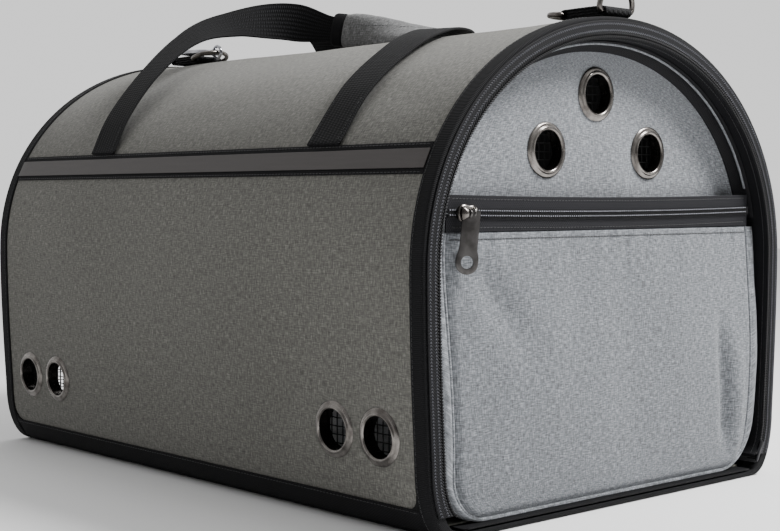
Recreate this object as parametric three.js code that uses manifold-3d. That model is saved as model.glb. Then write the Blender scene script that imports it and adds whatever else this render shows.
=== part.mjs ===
// Soft-sided pet carrier bag with an arched tunnel body, a zipped front door and carry handles.
// Millimetres, +Z up, origin at the middle of the bottom face, door end towards -Y.
import * as THREE from 'three';
import { mergeVertices } from 'three/addons/utils/BufferGeometryUtils.js';
import Module from 'manifold-3d';

const wasm = await Module();
wasm.setup();

// ---- driving dimensions -------------------------------------------------
const LENGTH = 480;
const WIDTH = 340;
const HEIGHT = 300;
const BASE_HALF = 166; // half width just above the rounded lower corners
const CORNER_X = 20;
const CORNER_Z = 42;
const WIDEST_Z = 150;
const ARCH_POWER = 2.05; // 2 is an ellipse, more is squarer
const GAP = 0.3;
const ROUND = 12; // sides of a round eyelet

const FRONT_Y = -LENGTH / 2;
const REAR_Y = LENGTH / 2;

// layers of the wall, as depths below the outermost outline
const BINDING = { outer: 0, inner: 1.2 };
const COVER = { outer: 1.5, inner: 2.7 };
const FOAM = { outer: 3.0, inner: 6.5 };
const LINING = { outer: 6.8, inner: 7.6 };
const INNER_BINDING = { outer: 7.9, inner: 9 };

const BINDING_WIDTH = 11;
const ZIP_STAND = 1.3; // how far the door zip stands in front of the binding
const TRAY_TOP_Z = 10;
const SIDE_BINDING_TOP_Z = 17;

const RIBBON = { low: 203, high: 221 };
const REFLECTOR = { low: 206.5, high: 217.5 };

const GROMMET = { outer: 17, inner: 12, barrel: 13, hole: 13.9 };
const SIDE_GROMMET_Z = 55;
const SIDE_GROMMET_Y = [159.5, 199];
const DOOR_GROMMETS = [[-3, 254], [-48.7, 218.4], [48.7, 218.4]];

// depths of the window's cut edge and of the net behind it
const REAR_WINDOW = { edge: 32, net: 24 };

const DOOR_FACE_Y = -219;
const DOOR_COVER_THICK = 1.1;
const DOOR_BOARD_THICK = 4;
const DOOR_EDGE = 14; // depth of the door's edge below the outline
const DOOR_MARGIN = { inner: 17.5, front: -229, low: 30 }; // padded border round the recessed door
const DOOR_ZIP_LOW_Z = 25;
const DOOR_SLIDER_Z = 19;
const HINGE = { y: -239, z: 5 };

const POCKET = { inset: 24.5, bottom: 11.5, corner: 26, top: 170, front: -236, wall: 1.2 };
const POCKET_ZIP = { low: 170.6, high: 191.8, half: 144, face: -230, coilHalf: 3 };

const SLIDER = { x: -131.5, z: 181.2, half: 5.5, tall: 4.6, back: -232.3, front: -234.6 };
const BAIL = { y: -237.4, half: 4.6, inside: 3.2, thick: 0.5, tall: 1.1 };
const PULLER = { front: -238.4, back: -236.9, low: 147.5, eye: 1.45, eyeRim: 2.3, half: 2.6, lean: 0.1, neck: 3.9, broad: 5.9 };

const WEBBING = { width: 30, thick: 1.8, gripWidth: 20 };
const LEG_Y = { rear: 116, front: -133 };
const GRIP = { from: 0.43, to: 0.6, cuff: 0.022 }; // shares of the strap's length

const TAB = { width: 25, inner: 196.5, outer: 234.5, thick: 6.4, eye: 2.3 };
const RING = { half: 15.5, depth: 16, wire: 1.9 };
const HOOK = { y: 185.3, z: 309.3, length: 46, half: 8.6, wire: 2.1, tilt: 0.05 };
const GATE = { from: 14, to: 31.3, radius: 1.7 };

const COLOR = {
  fabric: 0x6d6c69,
  door: 0x8c8f92,
  black: 0x242427,
  webbing: 0x28282b,
  foam: 0x3c3c3e,
  lining: 0x2e2e30,
  board: 0x50504c,
  mat: 0x77787a,
  nickel: 0xb0aca6,
  chrome: 0xd0d0d0,
  reflector: 0x5c5652,
  net: 0x1c1c1e,
};

// ---- helpers ------------------------------------------------------------
const v = (x, y, z) => new THREE.Vector3(x, y, z);

function material(color, roughness = 0.9, metalness = 0) {
  return new THREE.MeshStandardMaterial({ color, roughness, metalness });
}

function named(name, geometry, look) {
  const mesh = new THREE.Mesh(geometry, look);
  mesh.name = name;
  return mesh;
}

function toSolid(geometry) {
  const bare = geometry.clone();
  bare.deleteAttribute('normal');
  bare.deleteAttribute('uv');
  const merged = mergeVertices(bare, 1e-4);
  return new wasm.Manifold(new wasm.Mesh({
    numProp: 3,
    vertProperties: new Float32Array(merged.attributes.position.array),
    triVerts: new Uint32Array(merged.index.array),
  }));
}

function fromSolid(solid) {
  const mesh = solid.getMesh();
  const geometry = new THREE.BufferGeometry();
  geometry.setAttribute('position', new THREE.BufferAttribute(mesh.vertProperties, 3));
  geometry.setIndex(new THREE.BufferAttribute(mesh.triVerts, 1));
  geometry.computeVertexNormals();
  return geometry;
}

function union(...geometries) {
  return fromSolid(geometries.map(toSolid).reduce((sum, next) => sum.add(next)));
}

function cut(geometry, ...tools) {
  return fromSolid(tools.map(toSolid).reduce((left, tool) => left.subtract(tool), toSolid(geometry)));
}

// a shape drawn in (x, z), made solid from y = from to y = to
function alongY(shape, from, to) {
  const geometry = new THREE.ExtrudeGeometry(shape, { depth: to - from, bevelEnabled: false });
  geometry.rotateX(Math.PI / 2);
  geometry.translate(0, to, 0);
  return geometry;
}

function box(x0, x1, y0, y1, z0, z1) {
  const geometry = new THREE.BoxGeometry(x1 - x0, y1 - y0, z1 - z0);
  geometry.translate((x0 + x1) / 2, (y0 + y1) / 2, (z0 + z1) / 2);
  return geometry;
}

// ---- the tunnel's outline -----------------------------------------------
// right half of the cross-section at a depth below the outermost surface,
// from the end of the flat bottom up to the ridge
function halfOutline(depth = 0) {
  const points = [];
  const side = BASE_HALF - depth;
  const flatEnd = BASE_HALF - CORNER_X - depth * 0.45;
  const cornerSteps = 5;
  for (let i = 0; i <= cornerSteps; i += 1) {
    const angle = (i / cornerSteps) * (Math.PI / 2);
    const x = flatEnd + (side - flatEnd) * Math.sin(angle);
    points.push(new THREE.Vector2(x, CORNER_Z - (CORNER_Z - depth) * Math.cos(angle)));
  }
  const sideSteps = 3;
  for (let i = 1; i <= sideSteps; i += 1) {
    const t = i / sideSteps;
    const x = side + (WIDTH / 2 - BASE_HALF) * Math.sin((t * Math.PI) / 2);
    points.push(new THREE.Vector2(x, CORNER_Z + (WIDEST_Z - CORNER_Z) * t));
  }
  const archSteps = 12;
  for (let i = 1; i <= archSteps; i += 1) {
    const angle = (i / archSteps) * (Math.PI / 2);
    const x = (WIDTH / 2 - depth) * Math.max(Math.cos(angle), 0) ** (2 / ARCH_POWER);
    const z = WIDEST_Z + (HEIGHT - WIDEST_Z - depth) * Math.sin(angle) ** (2 / ARCH_POWER);
    points.push(new THREE.Vector2(i === archSteps ? 0 : x, z));
  }
  return points;
}

const flipped = (points) => points.map((p) => new THREE.Vector2(-p.x, p.y)).reverse();

function fullOutline(depth) {
  const half = halfOutline(depth);
  return [...half, ...flipped(half.slice(0, -1))];
}

// half width at height z
function outlineX(z, depth = 0) {
  const half = halfOutline(depth);
  const next = half.findIndex((p) => p.y > z);
  const a = half[next - 1];
  const b = half[next];
  return a.x + ((b.x - a.x) * (z - a.y)) / (b.y - a.y);
}

const pointAt = (z, depth) => new THREE.Vector2(outlineX(z, depth), z);

// open lines at a depth: up one side, over the arch from side to side, and under the bottom
const sideLine = (low, high) => (depth) => [
  pointAt(low, depth),
  ...halfOutline(depth).filter((p) => p.y > low + 0.05 && p.y < high - 0.05),
  pointAt(high, depth),
];

const archLine = (low) => (depth) => {
  const rising = [pointAt(low, depth), ...halfOutline(depth).filter((p) => p.y > low + 0.05)];
  return [...rising, ...flipped(rising.slice(0, -1))];
};

const trayLine = (high) => (depth) => {
  const right = [...halfOutline(depth).filter((p) => p.y < high - 0.05), pointAt(high, depth)];
  return [...flipped(right), ...right];
};

const strip = (line, outer, inner) => new THREE.Shape([...line(outer), ...line(inner).reverse()]);
const plate = (depth) => new THREE.Shape(fullOutline(depth));

function ring(outer, inner) {
  const shape = plate(outer);
  shape.holes.push(new THREE.Path(fullOutline(inner).reverse()));
  return shape;
}

// point above the arch at x, lifted off the outline by lift
function onArch(x, y, lift) {
  const share = (Math.abs(x) / (WIDTH / 2)) ** ARCH_POWER;
  const rise = (1 - share) ** (1 / ARCH_POWER);
  const slope = (HEIGHT - WIDEST_Z) * (share / Math.max(Math.abs(x), 1e-6)) * (1 - share) ** (1 / ARCH_POWER - 1);
  const normal = new THREE.Vector3(Math.sign(x) * slope, 0, 1).normalize();
  return new THREE.Vector3(x, y, WIDEST_Z + (HEIGHT - WIDEST_Z) * rise).addScaledVector(normal, lift);
}

// ---- sweeps -------------------------------------------------------------
// section(t) gives points (across, up) around the line; ways gives the direction of "across"
function sweep(points, ways, section, from, to, steps) {
  const path = new THREE.CatmullRomCurve3(points, false, 'centripetal');
  const twist = new THREE.CatmullRomCurve3(ways, false, 'centripetal');
  const vertices = [];
  const faces = [];
  let count = 0;
  for (let i = 0; i <= steps; i += 1) {
    const t = from + ((to - from) * i) / steps;
    const centre = path.getPoint(t);
    const along = path.getTangent(t);
    const across = twist.getPoint(t).addScaledVector(along, -twist.getPoint(t).dot(along)).normalize();
    const up = new THREE.Vector3().crossVectors(across, along);
    const outline = section(t);
    count = outline.length;
    for (const [w, h] of outline) {
      vertices.push(...centre.clone().addScaledVector(across, w).addScaledVector(up, h).toArray());
    }
  }
  for (let i = 0; i < steps; i += 1) {
    for (let j = 0; j < count; j += 1) {
      const a = i * count + j;
      const b = i * count + ((j + 1) % count);
      faces.push(a, a + count, b, b, a + count, b + count);
    }
  }
  for (let j = 1; j < count - 1; j += 1) {
    faces.push(0, j, j + 1);
    const last = steps * count;
    faces.push(last, last + j + 1, last + j);
  }
  const geometry = new THREE.BufferGeometry();
  geometry.setAttribute('position', new THREE.BufferAttribute(new Float32Array(vertices), 3));
  geometry.setIndex(faces);
  geometry.computeVertexNormals();
  return geometry;
}

function rectangle(width, thick) {
  return [[-width / 2, thick / 2], [-width / 2, -thick / 2], [width / 2, -thick / 2], [width / 2, thick / 2]];
}

function oval(halfWidth, halfThick, sides = 8) {
  return Array.from({ length: sides }, (_, i) => {
    const angle = (i / sides) * 2 * Math.PI;
    return [-halfWidth * Math.cos(angle), -halfThick * Math.sin(angle)];
  });
}

// ---- shell --------------------------------------------------------------
const WALL_FRONT = FRONT_Y + ZIP_STAND + 1.8;
const WALL_REAR = REAR_Y - 1.8;

function grommetCutters() {
  return SIDE_GROMMET_Y.flatMap((y) => [y, -y]).map((y) => {
    const tool = new THREE.CylinderGeometry(GROMMET.hole, GROMMET.hole, WIDTH * 1.2, ROUND);
    tool.rotateZ(Math.PI / 2);
    tool.translate(0, y, SIDE_GROMMET_Z);
    return tool;
  });
}

function wallLayer(layer, low) {
  return cut(alongY(strip(archLine(low), layer.outer, layer.inner), WALL_FRONT, WALL_REAR), ...grommetCutters());
}

function bindingRing(from, to, wallFrom, wallTo) {
  const body = alongY(ring(BINDING.outer, INNER_BINDING.inner), from, to);
  return cut(body, alongY(ring(BINDING.inner, INNER_BINDING.outer), wallFrom - GAP, wallTo + GAP));
}

function basePanel(from, to) {
  const wrap = alongY(strip(trayLine(TRAY_TOP_Z), COVER.outer, COVER.inner), from, to);
  const sole = alongY(strip(trayLine(3), 0, COVER.outer + 0.4), from, to);
  return union(wrap, sole);
}

function sideBinding(side, from, to) {
  const line = sideLine(3.6, SIDE_BINDING_TOP_Z);
  const geometry = alongY(strip(line, BINDING.outer, BINDING.inner), from, to);
  return side > 0 ? geometry : mirrorX(geometry);
}

function mirrorX(geometry) {
  const solid = toSolid(geometry);
  return fromSolid(solid.mirror([1, 0, 0]));
}

function bandOnSide(side, band, outer, inner, from, to) {
  const geometry = alongY(strip(sideLine(band.low, band.high), outer, inner), from, to);
  return side > 0 ? geometry : mirrorX(geometry);
}

// an eyelet turned about +Y: flange outside at y < 0, barrel through the wall, washer inside
function eyelet(wall) {
  const profile = [
    [GROMMET.inner, -1.9],
    [GROMMET.inner + 2.2, -2.4],
    [GROMMET.outer, -0.3],
    [GROMMET.barrel, -0.3],
    [GROMMET.barrel, wall + 0.3],
    [GROMMET.outer - 1.5, wall + 0.3],
    [GROMMET.outer - 1.5, wall + 0.9],
    [GROMMET.inner, wall + 0.9],
    [GROMMET.inner, -1.9],
  ].map(([r, y]) => new THREE.Vector2(r, y));
  return new THREE.LatheGeometry(profile, ROUND);
}

function shellParts() {
  const ringEnd = FRONT_Y + ZIP_STAND + BINDING_WIDTH;
  const rearRingStart = REAR_Y - BINDING_WIDTH;
  const between = [ringEnd + GAP, rearRingStart - GAP];
  const parts = [
    named('outer_cover', wallLayer(COVER, TRAY_TOP_Z + 0.5), material(COLOR.fabric)),
    named('wall_foam', wallLayer(FOAM, 8), material(COLOR.foam)),
    named('lining', wallLayer(LINING, 9), material(COLOR.lining)),
    named('base_panel', basePanel(...between), material(COLOR.black)),
    named('base_board', box(-140, 140, between[0], between[1], 3.1, 6.1), material(COLOR.board)),
    named('floor_mat', floorMat(), material(COLOR.mat)),
    named('front_binding', bindingRing(FRONT_Y + ZIP_STAND, ringEnd, WALL_FRONT, REAR_Y), material(COLOR.black)),
    named('rear_binding', bindingRing(rearRingStart, REAR_Y, FRONT_Y, WALL_REAR), material(COLOR.black)),
  ];
  for (const [word, side] of [['left', -1], ['right', 1]]) {
    parts.push(named(`${word}_bottom_binding`, sideBinding(side, ...between), material(COLOR.black)));
    parts.push(named(`${word}_ribbon`, bandOnSide(side, RIBBON, 0.2, 1.2, ...between), material(COLOR.webbing)));
    const tape = bandOnSide(side, REFLECTOR, -0.5, -0.1, ...between);
    parts.push(named(`${word}_reflective_tape`, tape, material(COLOR.reflector, 0.4)));
  }
  return parts;
}

function floorMat() {
  const shape = new THREE.Shape();
  const halfX = 138;
  const y0 = -212;
  const y1 = 222;
  const r = 20;
  shape.moveTo(-halfX + r, y0);
  shape.lineTo(halfX - r, y0);
  shape.absarc(halfX - r, y0 + r, r, -Math.PI / 2, 0);
  shape.lineTo(halfX, y1 - r);
  shape.absarc(halfX - r, y1 - r, r, 0, Math.PI / 2);
  shape.lineTo(-halfX + r, y1);
  shape.absarc(-halfX + r, y1 - r, r, Math.PI / 2, Math.PI);
  shape.lineTo(-halfX, y0 + r);
  shape.absarc(-halfX + r, y0 + r, r, Math.PI, Math.PI * 1.5);
  const geometry = new THREE.ExtrudeGeometry(shape, { depth: 12, bevelEnabled: false, curveSegments: 4 });
  geometry.translate(0, 0, 6.6);
  return geometry;
}

function sideGrommets() {
  const parts = [];
  const wall = LINING.inner - COVER.outer;
  const reach = GROMMET.outer;
  const lean = (outlineX(SIDE_GROMMET_Z + reach) - outlineX(SIDE_GROMMET_Z - reach + 5)) / (2 * reach - 5);
  for (const [word, side] of [['left', -1], ['right', 1]]) {
    for (const [end, sign] of [['front', -1], ['rear', 1]]) {
      SIDE_GROMMET_Y.forEach((y, i) => {
        const piece = named(`${word}_${end}_grommet_${i + 1}`, eyelet(wall), material(COLOR.nickel, 0.35, 1));
        piece.quaternion.setFromUnitVectors(v(0, -1, 0), v(side, 0, -lean).normalize());
        piece.position.set(side * (outlineX(SIDE_GROMMET_Z) - COVER.outer), sign * y, SIDE_GROMMET_Z);
        parts.push(piece);
      });
      const x = outlineX(SIDE_GROMMET_Z) - LINING.inner - 2.4;
      const middle = (sign * (SIDE_GROMMET_Y[0] + SIDE_GROMMET_Y[1])) / 2;
      const net = box(x - 0.8, x, middle - 44, middle + 44, SIDE_GROMMET_Z - 26, SIDE_GROMMET_Z + 26);
      parts.push(named(`${word}_${end}_vent_net`, side > 0 ? net : mirrorX(net), material(COLOR.net)));
    }
  }
  return parts;
}

function rearEnd() {
  const frame = ring(INNER_BINDING.inner + 0.5, REAR_WINDOW.edge);
  const trim = ring(REAR_WINDOW.edge - 3, REAR_WINDOW.edge + 3);
  return [
    named('rear_panel', alongY(frame, REAR_Y - 8, REAR_Y - 5), material(COLOR.fabric)),
    named('rear_window_net', alongY(plate(REAR_WINDOW.net), REAR_Y - 9.2, REAR_Y - 8.4), material(COLOR.net)),
    named('rear_window_binding', alongY(trim, REAR_Y - 4.6, REAR_Y - 3.4), material(COLOR.black)),
  ];
}

// the half of the door zip that is sewn to the rim, with its row of teeth on the inner edge
function rimZip() {
  const line = archLine(DOOR_ZIP_LOW_Z);
  const tape = alongY(strip(line, 2.5, 11.2), FRONT_Y, FRONT_Y + 1);
  const teeth = alongY(strip(line, INNER_BINDING.inner + GAP, 11.2), FRONT_Y, FRONT_Y + 2.4);
  return named('rim_zip_tape', union(tape, teeth), material(COLOR.black));
}

// the door zip's slider, parked at the closed end of the zip in the lower right corner
function doorSlider() {
  const front = box(-2.4, 2.4, 0, 1, -4.5, 4.5);
  const core = box(-1.9, 1.9, 0.8, 2.9, -3.5, 3.5);
  const mesh = named('door_zip_slider', union(front, core), material(COLOR.black, 0.4, 0.6));
  const depth = 11.3;
  const rise = outlineX(DOOR_SLIDER_Z + 3, depth) - outlineX(DOOR_SLIDER_Z - 3, depth);
  mesh.rotation.y = Math.atan2(rise, 6);
  mesh.position.set(outlineX(DOOR_SLIDER_Z, depth), FRONT_Y, DOOR_SLIDER_Z);
  return mesh;
}

// ---- door ---------------------------------------------------------------
function doorCutters() {
  return DOOR_GROMMETS.map(([x, z]) => {
    const tool = new THREE.CylinderGeometry(GROMMET.hole, GROMMET.hole, 60, ROUND);
    tool.translate(x, DOOR_FACE_Y, z);
    return tool;
  });
}

function doorParts() {
  const coverBack = DOOR_FACE_Y + DOOR_COVER_THICK;
  const boardBack = coverBack + GAP + DOOR_BOARD_THICK;
  const cover = cut(alongY(plate(DOOR_EDGE), DOOR_FACE_Y, coverBack), ...doorCutters());
  const board = cut(alongY(plate(DOOR_EDGE), coverBack + GAP, boardBack), ...doorCutters());
  const parts = [
    named('door_cover', cover, material(COLOR.door)),
    named('door_board', board, material(COLOR.foam)),
    named('door_piping', doorMargin(), material(COLOR.door)),
    named('door_zip_tape', doorZip(), material(COLOR.black)),
    named('door_hinge_strip', box(-138, 138, HINGE.y, DOOR_FACE_Y + 1.5, 9.6, 10.8), material(COLOR.black)),
    named('door_vent_net', doorNet(boardBack), material(COLOR.net)),
  ];
  DOOR_GROMMETS.forEach(([x, z], i) => {
    const piece = named(`door_grommet_${i + 1}`, eyelet(boardBack - DOOR_FACE_Y), material(COLOR.nickel, 0.35, 1));
    piece.position.set(x, DOOR_FACE_Y, z);
    parts.push(piece);
  });
  return parts;
}

function doorMargin() {
  const shape = strip(archLine(DOOR_MARGIN.low), DOOR_EDGE, DOOR_MARGIN.inner);
  return alongY(shape, DOOR_MARGIN.front, DOOR_FACE_Y - GAP);
}

function doorNet(boardBack) {
  const shape = new THREE.Shape();
  shape.moveTo(-74, 196);
  shape.lineTo(74, 196);
  shape.lineTo(74, 236);
  shape.lineTo(26, 276);
  shape.lineTo(-26, 276);
  shape.lineTo(-74, 236);
  return alongY(shape, boardBack + 1.4, boardBack + 2.2);
}

function doorZip() {
  const line = archLine(DOOR_ZIP_LOW_Z);
  const teeth = alongY(strip(line, 11.6, 13.6), FRONT_Y, FRONT_Y + 2.4);
  const wall = alongY(strip(line, 12.6, 13.6), FRONT_Y + 1, DOOR_FACE_Y + 1.5);
  return union(teeth, wall);
}

// open line down the pocket's right side, along its bottom and up its left side, moved in by depth
function pocketLine(depth) {
  const inset = POCKET.inset + depth;
  const low = POCKET.bottom + depth;
  const radius = POCKET.corner - depth;
  const centreX = outlineX(low + radius, inset) - radius;
  const right = [];
  const steps = 6;
  for (let i = 0; i <= steps; i += 1) {
    const angle = (i / steps) * (Math.PI / 2);
    right.push(new THREE.Vector2(centreX + radius * Math.sin(angle), low + radius * (1 - Math.cos(angle))));
  }
  right.push(...halfOutline(inset).filter((p) => p.y > low + radius + 1 && p.y < POCKET.top - 1));
  right.push(pointAt(POCKET.top, inset));
  return [...flipped(right), ...right];
}

function pocketParts() {
  const outline = pocketLine(0);
  const front = alongY(new THREE.Shape(outline), POCKET.front, POCKET.front + POCKET.wall);
  const gussetLine = strip(pocketLine, 0, POCKET.wall);
  const gusset = alongY(gussetLine, POCKET.front + 0.5, DOOR_FACE_Y - GAP);
  const middle = (POCKET_ZIP.low + POCKET_ZIP.high) / 2;
  const tapeBack = POCKET_ZIP.face + 1;
  const width = POCKET_ZIP.half;
  const lower = box(-width, width, POCKET_ZIP.face, tapeBack, POCKET_ZIP.low, middle - 0.2);
  const upper = box(-width, width, POCKET_ZIP.face, tapeBack, middle + 0.2, POCKET_ZIP.high);
  const coilBack = POCKET_ZIP.face - GAP;
  const coilHalf = POCKET_ZIP.coilHalf;
  const coil = box(-width, width, coilBack - 1.6, coilBack, middle - coilHalf, middle + coilHalf);
  return [
    named('pocket_front', union(front, gusset), material(COLOR.door)),
    named('pocket_zip_tape_lower', lower, material(COLOR.black)),
    named('pocket_zip_tape_upper', upper, material(COLOR.black)),
    named('pocket_zip_coil', coil, material(COLOR.black, 0.5)),
  ];
}

// ---- pocket zip slider and puller ----------------------------------------
function pocketSlider() {
  const { x, z, half, tall, back, front } = SLIDER;
  const body = box(x - half, x + half, front, back, z - tall, z + tall);
  const outer = box(x - BAIL.half, x + BAIL.half, BAIL.y - BAIL.thick, front + 0.5, z - BAIL.tall, z + BAIL.tall);
  const gap = box(x - BAIL.inside, x + BAIL.inside, BAIL.y + BAIL.thick, front + 1, z - 3, z + 3);
  return named('pocket_zip_slider', union(body, cut(outer, gap)), material(COLOR.nickel, 0.35, 1));
}

function pocketPuller() {
  const shape = new THREE.Shape();
  const { x, z } = SLIDER;
  const { low } = PULLER;
  const { neck, broad } = PULLER;
  shape.moveTo(x - neck, z - 1.8);
  shape.lineTo(x - neck, low + 16);
  shape.lineTo(x - broad, low + 8);
  shape.absarc(x, low + broad, broad, Math.PI, 2 * Math.PI);
  shape.lineTo(x + broad, low + 8);
  shape.lineTo(x + neck, low + 16);
  shape.lineTo(x + neck, z - 1.8);
  const hole = new THREE.Path();
  hole.absarc(x, low + 6.4, 3, 0, 2 * Math.PI, true);
  shape.holes.push(hole);
  const plateBody = alongY(shape, PULLER.front, PULLER.back);
  plateBody.translate(-x, 0, -z);
  plateBody.rotateY(PULLER.lean);
  plateBody.translate(x, 0, z);
  const rim = new THREE.CylinderGeometry(PULLER.eyeRim, PULLER.eyeRim, 2 * PULLER.half, 16);
  const bore = new THREE.CylinderGeometry(PULLER.eye, PULLER.eye, 4 * PULLER.half, 16);
  for (const part of [rim, bore]) {
    part.rotateZ(Math.PI / 2);
    part.translate(x, BAIL.y, z);
  }
  return named('pocket_zip_puller', cut(union(plateBody, rim), bore), material(COLOR.nickel, 0.35, 1));
}

// ---- handles ------------------------------------------------------------
const LEFT_HANDLE = {
  points: [
    onArch(-151, LEG_Y.rear, 0.9), v(-139, 116, 247), v(-110, 118, 281), v(-70, 124, 310),
    v(-25, 129, 325), v(12, 112, 329), v(33, 80, 322), v(40, 45, 317), v(45, 8, 311),
    v(44, -32, 306.5), v(30, -60, 305), v(4, -84, 304.5), onArch(-38, -110, 3.2),
    onArch(-80, -127, 2.6), onArch(-122, LEG_Y.front, 2), onArch(-151, LEG_Y.front, 0.9),
  ],
  ways: [
    v(0, 1, 0), v(0, 1, 0), v(0, 1, 0), v(0.1, 0.9, 0.25), v(0.15, 0.7, 0.65), v(0, 0.2, 1),
    v(0.05, 0, 1), v(0.25, 0, 0.95), v(0.8, 0, 0.6), v(0.97, 0, 0.1), v(0.85, -0.5, 0),
    v(0.6, -0.8, 0), v(0.3, -0.95, 0), v(0.1, -1, 0), v(0, -1, 0), v(0, -1, 0),
  ],
};

const RIGHT_HANDLE = {
  points: [
    onArch(151, LEG_Y.rear, 0.9), v(141, 119, 247), v(114, 128, 284), v(84, 140, 309),
    v(60, 138, 320), v(58, 112, 321), v(67, 78, 314), v(75, 38, 307), v(80, -5, 302),
    v(84, -45, 298), v(94, -84, 292), v(113, -113, 277), v(134, -128, 253), onArch(151, LEG_Y.front, 0.9),
  ],
  ways: [
    v(0, 1, 0), v(0, 1, 0), v(0, 1, 0), v(-0.1, 0.9, 0.35), v(-0.2, 0.6, 0.75), v(-0.2, 0.15, 1),
    v(-0.35, 0, 0.9), v(-0.6, 0, 0.8), v(-0.75, 0, 0.65), v(-0.75, -0.2, 0.6), v(-0.6, -0.6, 0.5),
    v(-0.3, -0.9, 0.2), v(0, -1, 0), v(0, -1, 0),
  ],
};

// the strap is folded narrower where the grip and its cuffs wrap it
function strapWidth(t) {
  const beyond = Math.max(GRIP.from - GRIP.cuff - t, t - GRIP.to - GRIP.cuff, 0);
  const ease = THREE.MathUtils.smoothstep(beyond, 0, 0.06);
  return WEBBING.gripWidth + (WEBBING.width - WEBBING.gripWidth) * ease;
}

function handles() {
  const { points, ways } = LEFT_HANDLE;
  const strap = (extra) => sweep(points, ways, (t) => rectangle(strapWidth(t) + extra, WEBBING.thick + extra), 0, 1, 44);
  const wrap = (from, to, halfWidth, halfThick) => cut(
    sweep(points, ways, () => oval(halfWidth, halfThick), from, to, 8),
    strap(0.7),
  );
  const flat = () => rectangle(WEBBING.width, WEBBING.thick);
  const plain = sweep(RIGHT_HANDLE.points, RIGHT_HANDLE.ways, flat, 0, 1, 40);
  return [
    named('left_handle_webbing', strap(0), material(COLOR.webbing)),
    named('grip_sleeve', wrap(GRIP.from, GRIP.to, 14, 7), material(COLOR.fabric)),
    named('grip_cuff_rear', wrap(GRIP.from - GRIP.cuff, GRIP.from - 0.001, 13, 6), material(COLOR.black)),
    named('grip_cuff_front', wrap(GRIP.to + 0.001, GRIP.to + GRIP.cuff, 13, 6), material(COLOR.black)),
    named('right_handle_webbing', plain, material(COLOR.webbing)),
  ];
}

// ---- shoulder-strap fittings on the ridge ---------------------------------
const TAB_MIDDLE_Z = HEIGHT + 0.6 + TAB.thick / 2;
const EYE_OUTER_Y = TAB.outer - TAB.thick / 2;
const EYE_INNER_Y = TAB.inner + TAB.thick / 2;

// a folded strip of webbing with a round tunnel at each end for a ring's bar
function strapTab(sign) {
  const r = TAB.thick / 2;
  const shape = new THREE.Shape();
  shape.absarc(EYE_OUTER_Y, 0, r, -Math.PI / 2, Math.PI / 2);
  shape.absarc(EYE_INNER_Y, 0, r, Math.PI / 2, Math.PI * 1.5);
  for (const y of [EYE_OUTER_Y, EYE_INNER_Y]) {
    const eye = new THREE.Path();
    eye.absarc(y, 0, TAB.eye, 0, 2 * Math.PI, true);
    shape.holes.push(eye);
  }
  const geometry = new THREE.ExtrudeGeometry(shape, { depth: TAB.width, bevelEnabled: false, curveSegments: 5 });
  geometry.translate(0, 0, -TAB.width / 2);
  geometry.applyMatrix4(new THREE.Matrix4().makeBasis(v(0, sign, 0), v(0, 0, 1), v(sign, 0, 0)));
  const mesh = named(sign > 0 ? 'rear_strap_tab' : 'front_strap_tab', geometry, material(COLOR.webbing));
  mesh.position.z = TAB_MIDDLE_Z;
  return mesh;
}

// a D-shaped wire ring hanging from a straight bar along X at the origin
function dRing(half, depth, wire) {
  const points = [];
  for (const x of [-half + 3, -half / 3, half / 3, half - 3]) {
    points.push(v(x, 0, 0));
  }
  points.push(v(half - 0.6, 0, 1));
  const steps = 9;
  for (let i = 0; i <= steps; i += 1) {
    const angle = (i / steps) * Math.PI;
    points.push(v(half * Math.cos(angle), 0, 3.2 + (depth - 3.2) * Math.sin(angle)));
  }
  points.push(v(-half + 0.6, 0, 1));
  const path = new THREE.CatmullRomCurve3(points, true, 'centripetal');
  return new THREE.TubeGeometry(path, 22, wire, 6, true);
}

function ringAt(name, y, leanDegrees, look) {
  const mesh = named(name, dRing(RING.half, RING.depth, RING.wire), look);
  mesh.rotation.x = THREE.MathUtils.degToRad(leanDegrees);
  mesh.position.set(0, y, TAB_MIDDLE_Z);
  return mesh;
}

// snap hook lying along +Y: an eye at its near end, an open loop, and a gate that closes it
function snapHook() {
  const { length, half, wire } = HOOK;
  const points = [
    v(half, 12, 0), v(half * 0.72, 6, 0), v(0, 3.4, 0), v(-half * 0.72, 6, 0), v(-half, 12, 0),
    v(-half, length * 0.5, 0), v(-half, length - 9, 0), v(-half * 0.7, length - 2.6, 0), v(0, length, 0),
    v(half * 0.7, length - 2.6, 0), v(half, length - 9, 0), v(half, length - 14, 0),
  ];
  const circle = new THREE.Shape(oval(wire, wire, 6).map(([a, b]) => new THREE.Vector2(a, b)).reverse());
  const loop = new THREE.ExtrudeGeometry(circle, {
    steps: 24,
    extrudePath: new THREE.CatmullRomCurve3(points, false, 'centripetal'),
  });
  const eye = new THREE.TorusGeometry(5, 1.6, 6, 12);
  eye.rotateY(Math.PI / 2);
  const mesh = named('rear_snap_hook', union(loop, eye), material(COLOR.chrome, 0.15, 1));
  mesh.position.set(0, HOOK.y, HOOK.z);
  mesh.rotation.x = HOOK.tilt;
  return mesh;
}

function snapGate() {
  const long = GATE.to - GATE.from;
  const gate = new THREE.CylinderGeometry(GATE.radius, GATE.radius, long, 8);
  gate.translate(0, GATE.from + long / 2, 0);
  const mesh = named('rear_snap_gate', gate, material(COLOR.chrome, 0.15, 1));
  mesh.position.set(HOOK.half, HOOK.y, HOOK.z);
  mesh.rotation.x = HOOK.tilt;
  return mesh;
}

function ridgeFittings() {
  const nickel = () => material(COLOR.nickel, 0.3, 1);
  return [
    strapTab(-1),
    strapTab(1),
    ringAt('front_d_ring', -EYE_OUTER_Y, 8, nickel()),
    ringAt('front_inner_ring', -EYE_INNER_Y, -86, nickel()),
    ringAt('rear_d_ring', EYE_INNER_Y, 70, nickel()),
    snapHook(),
    snapGate(),
  ];
}

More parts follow.
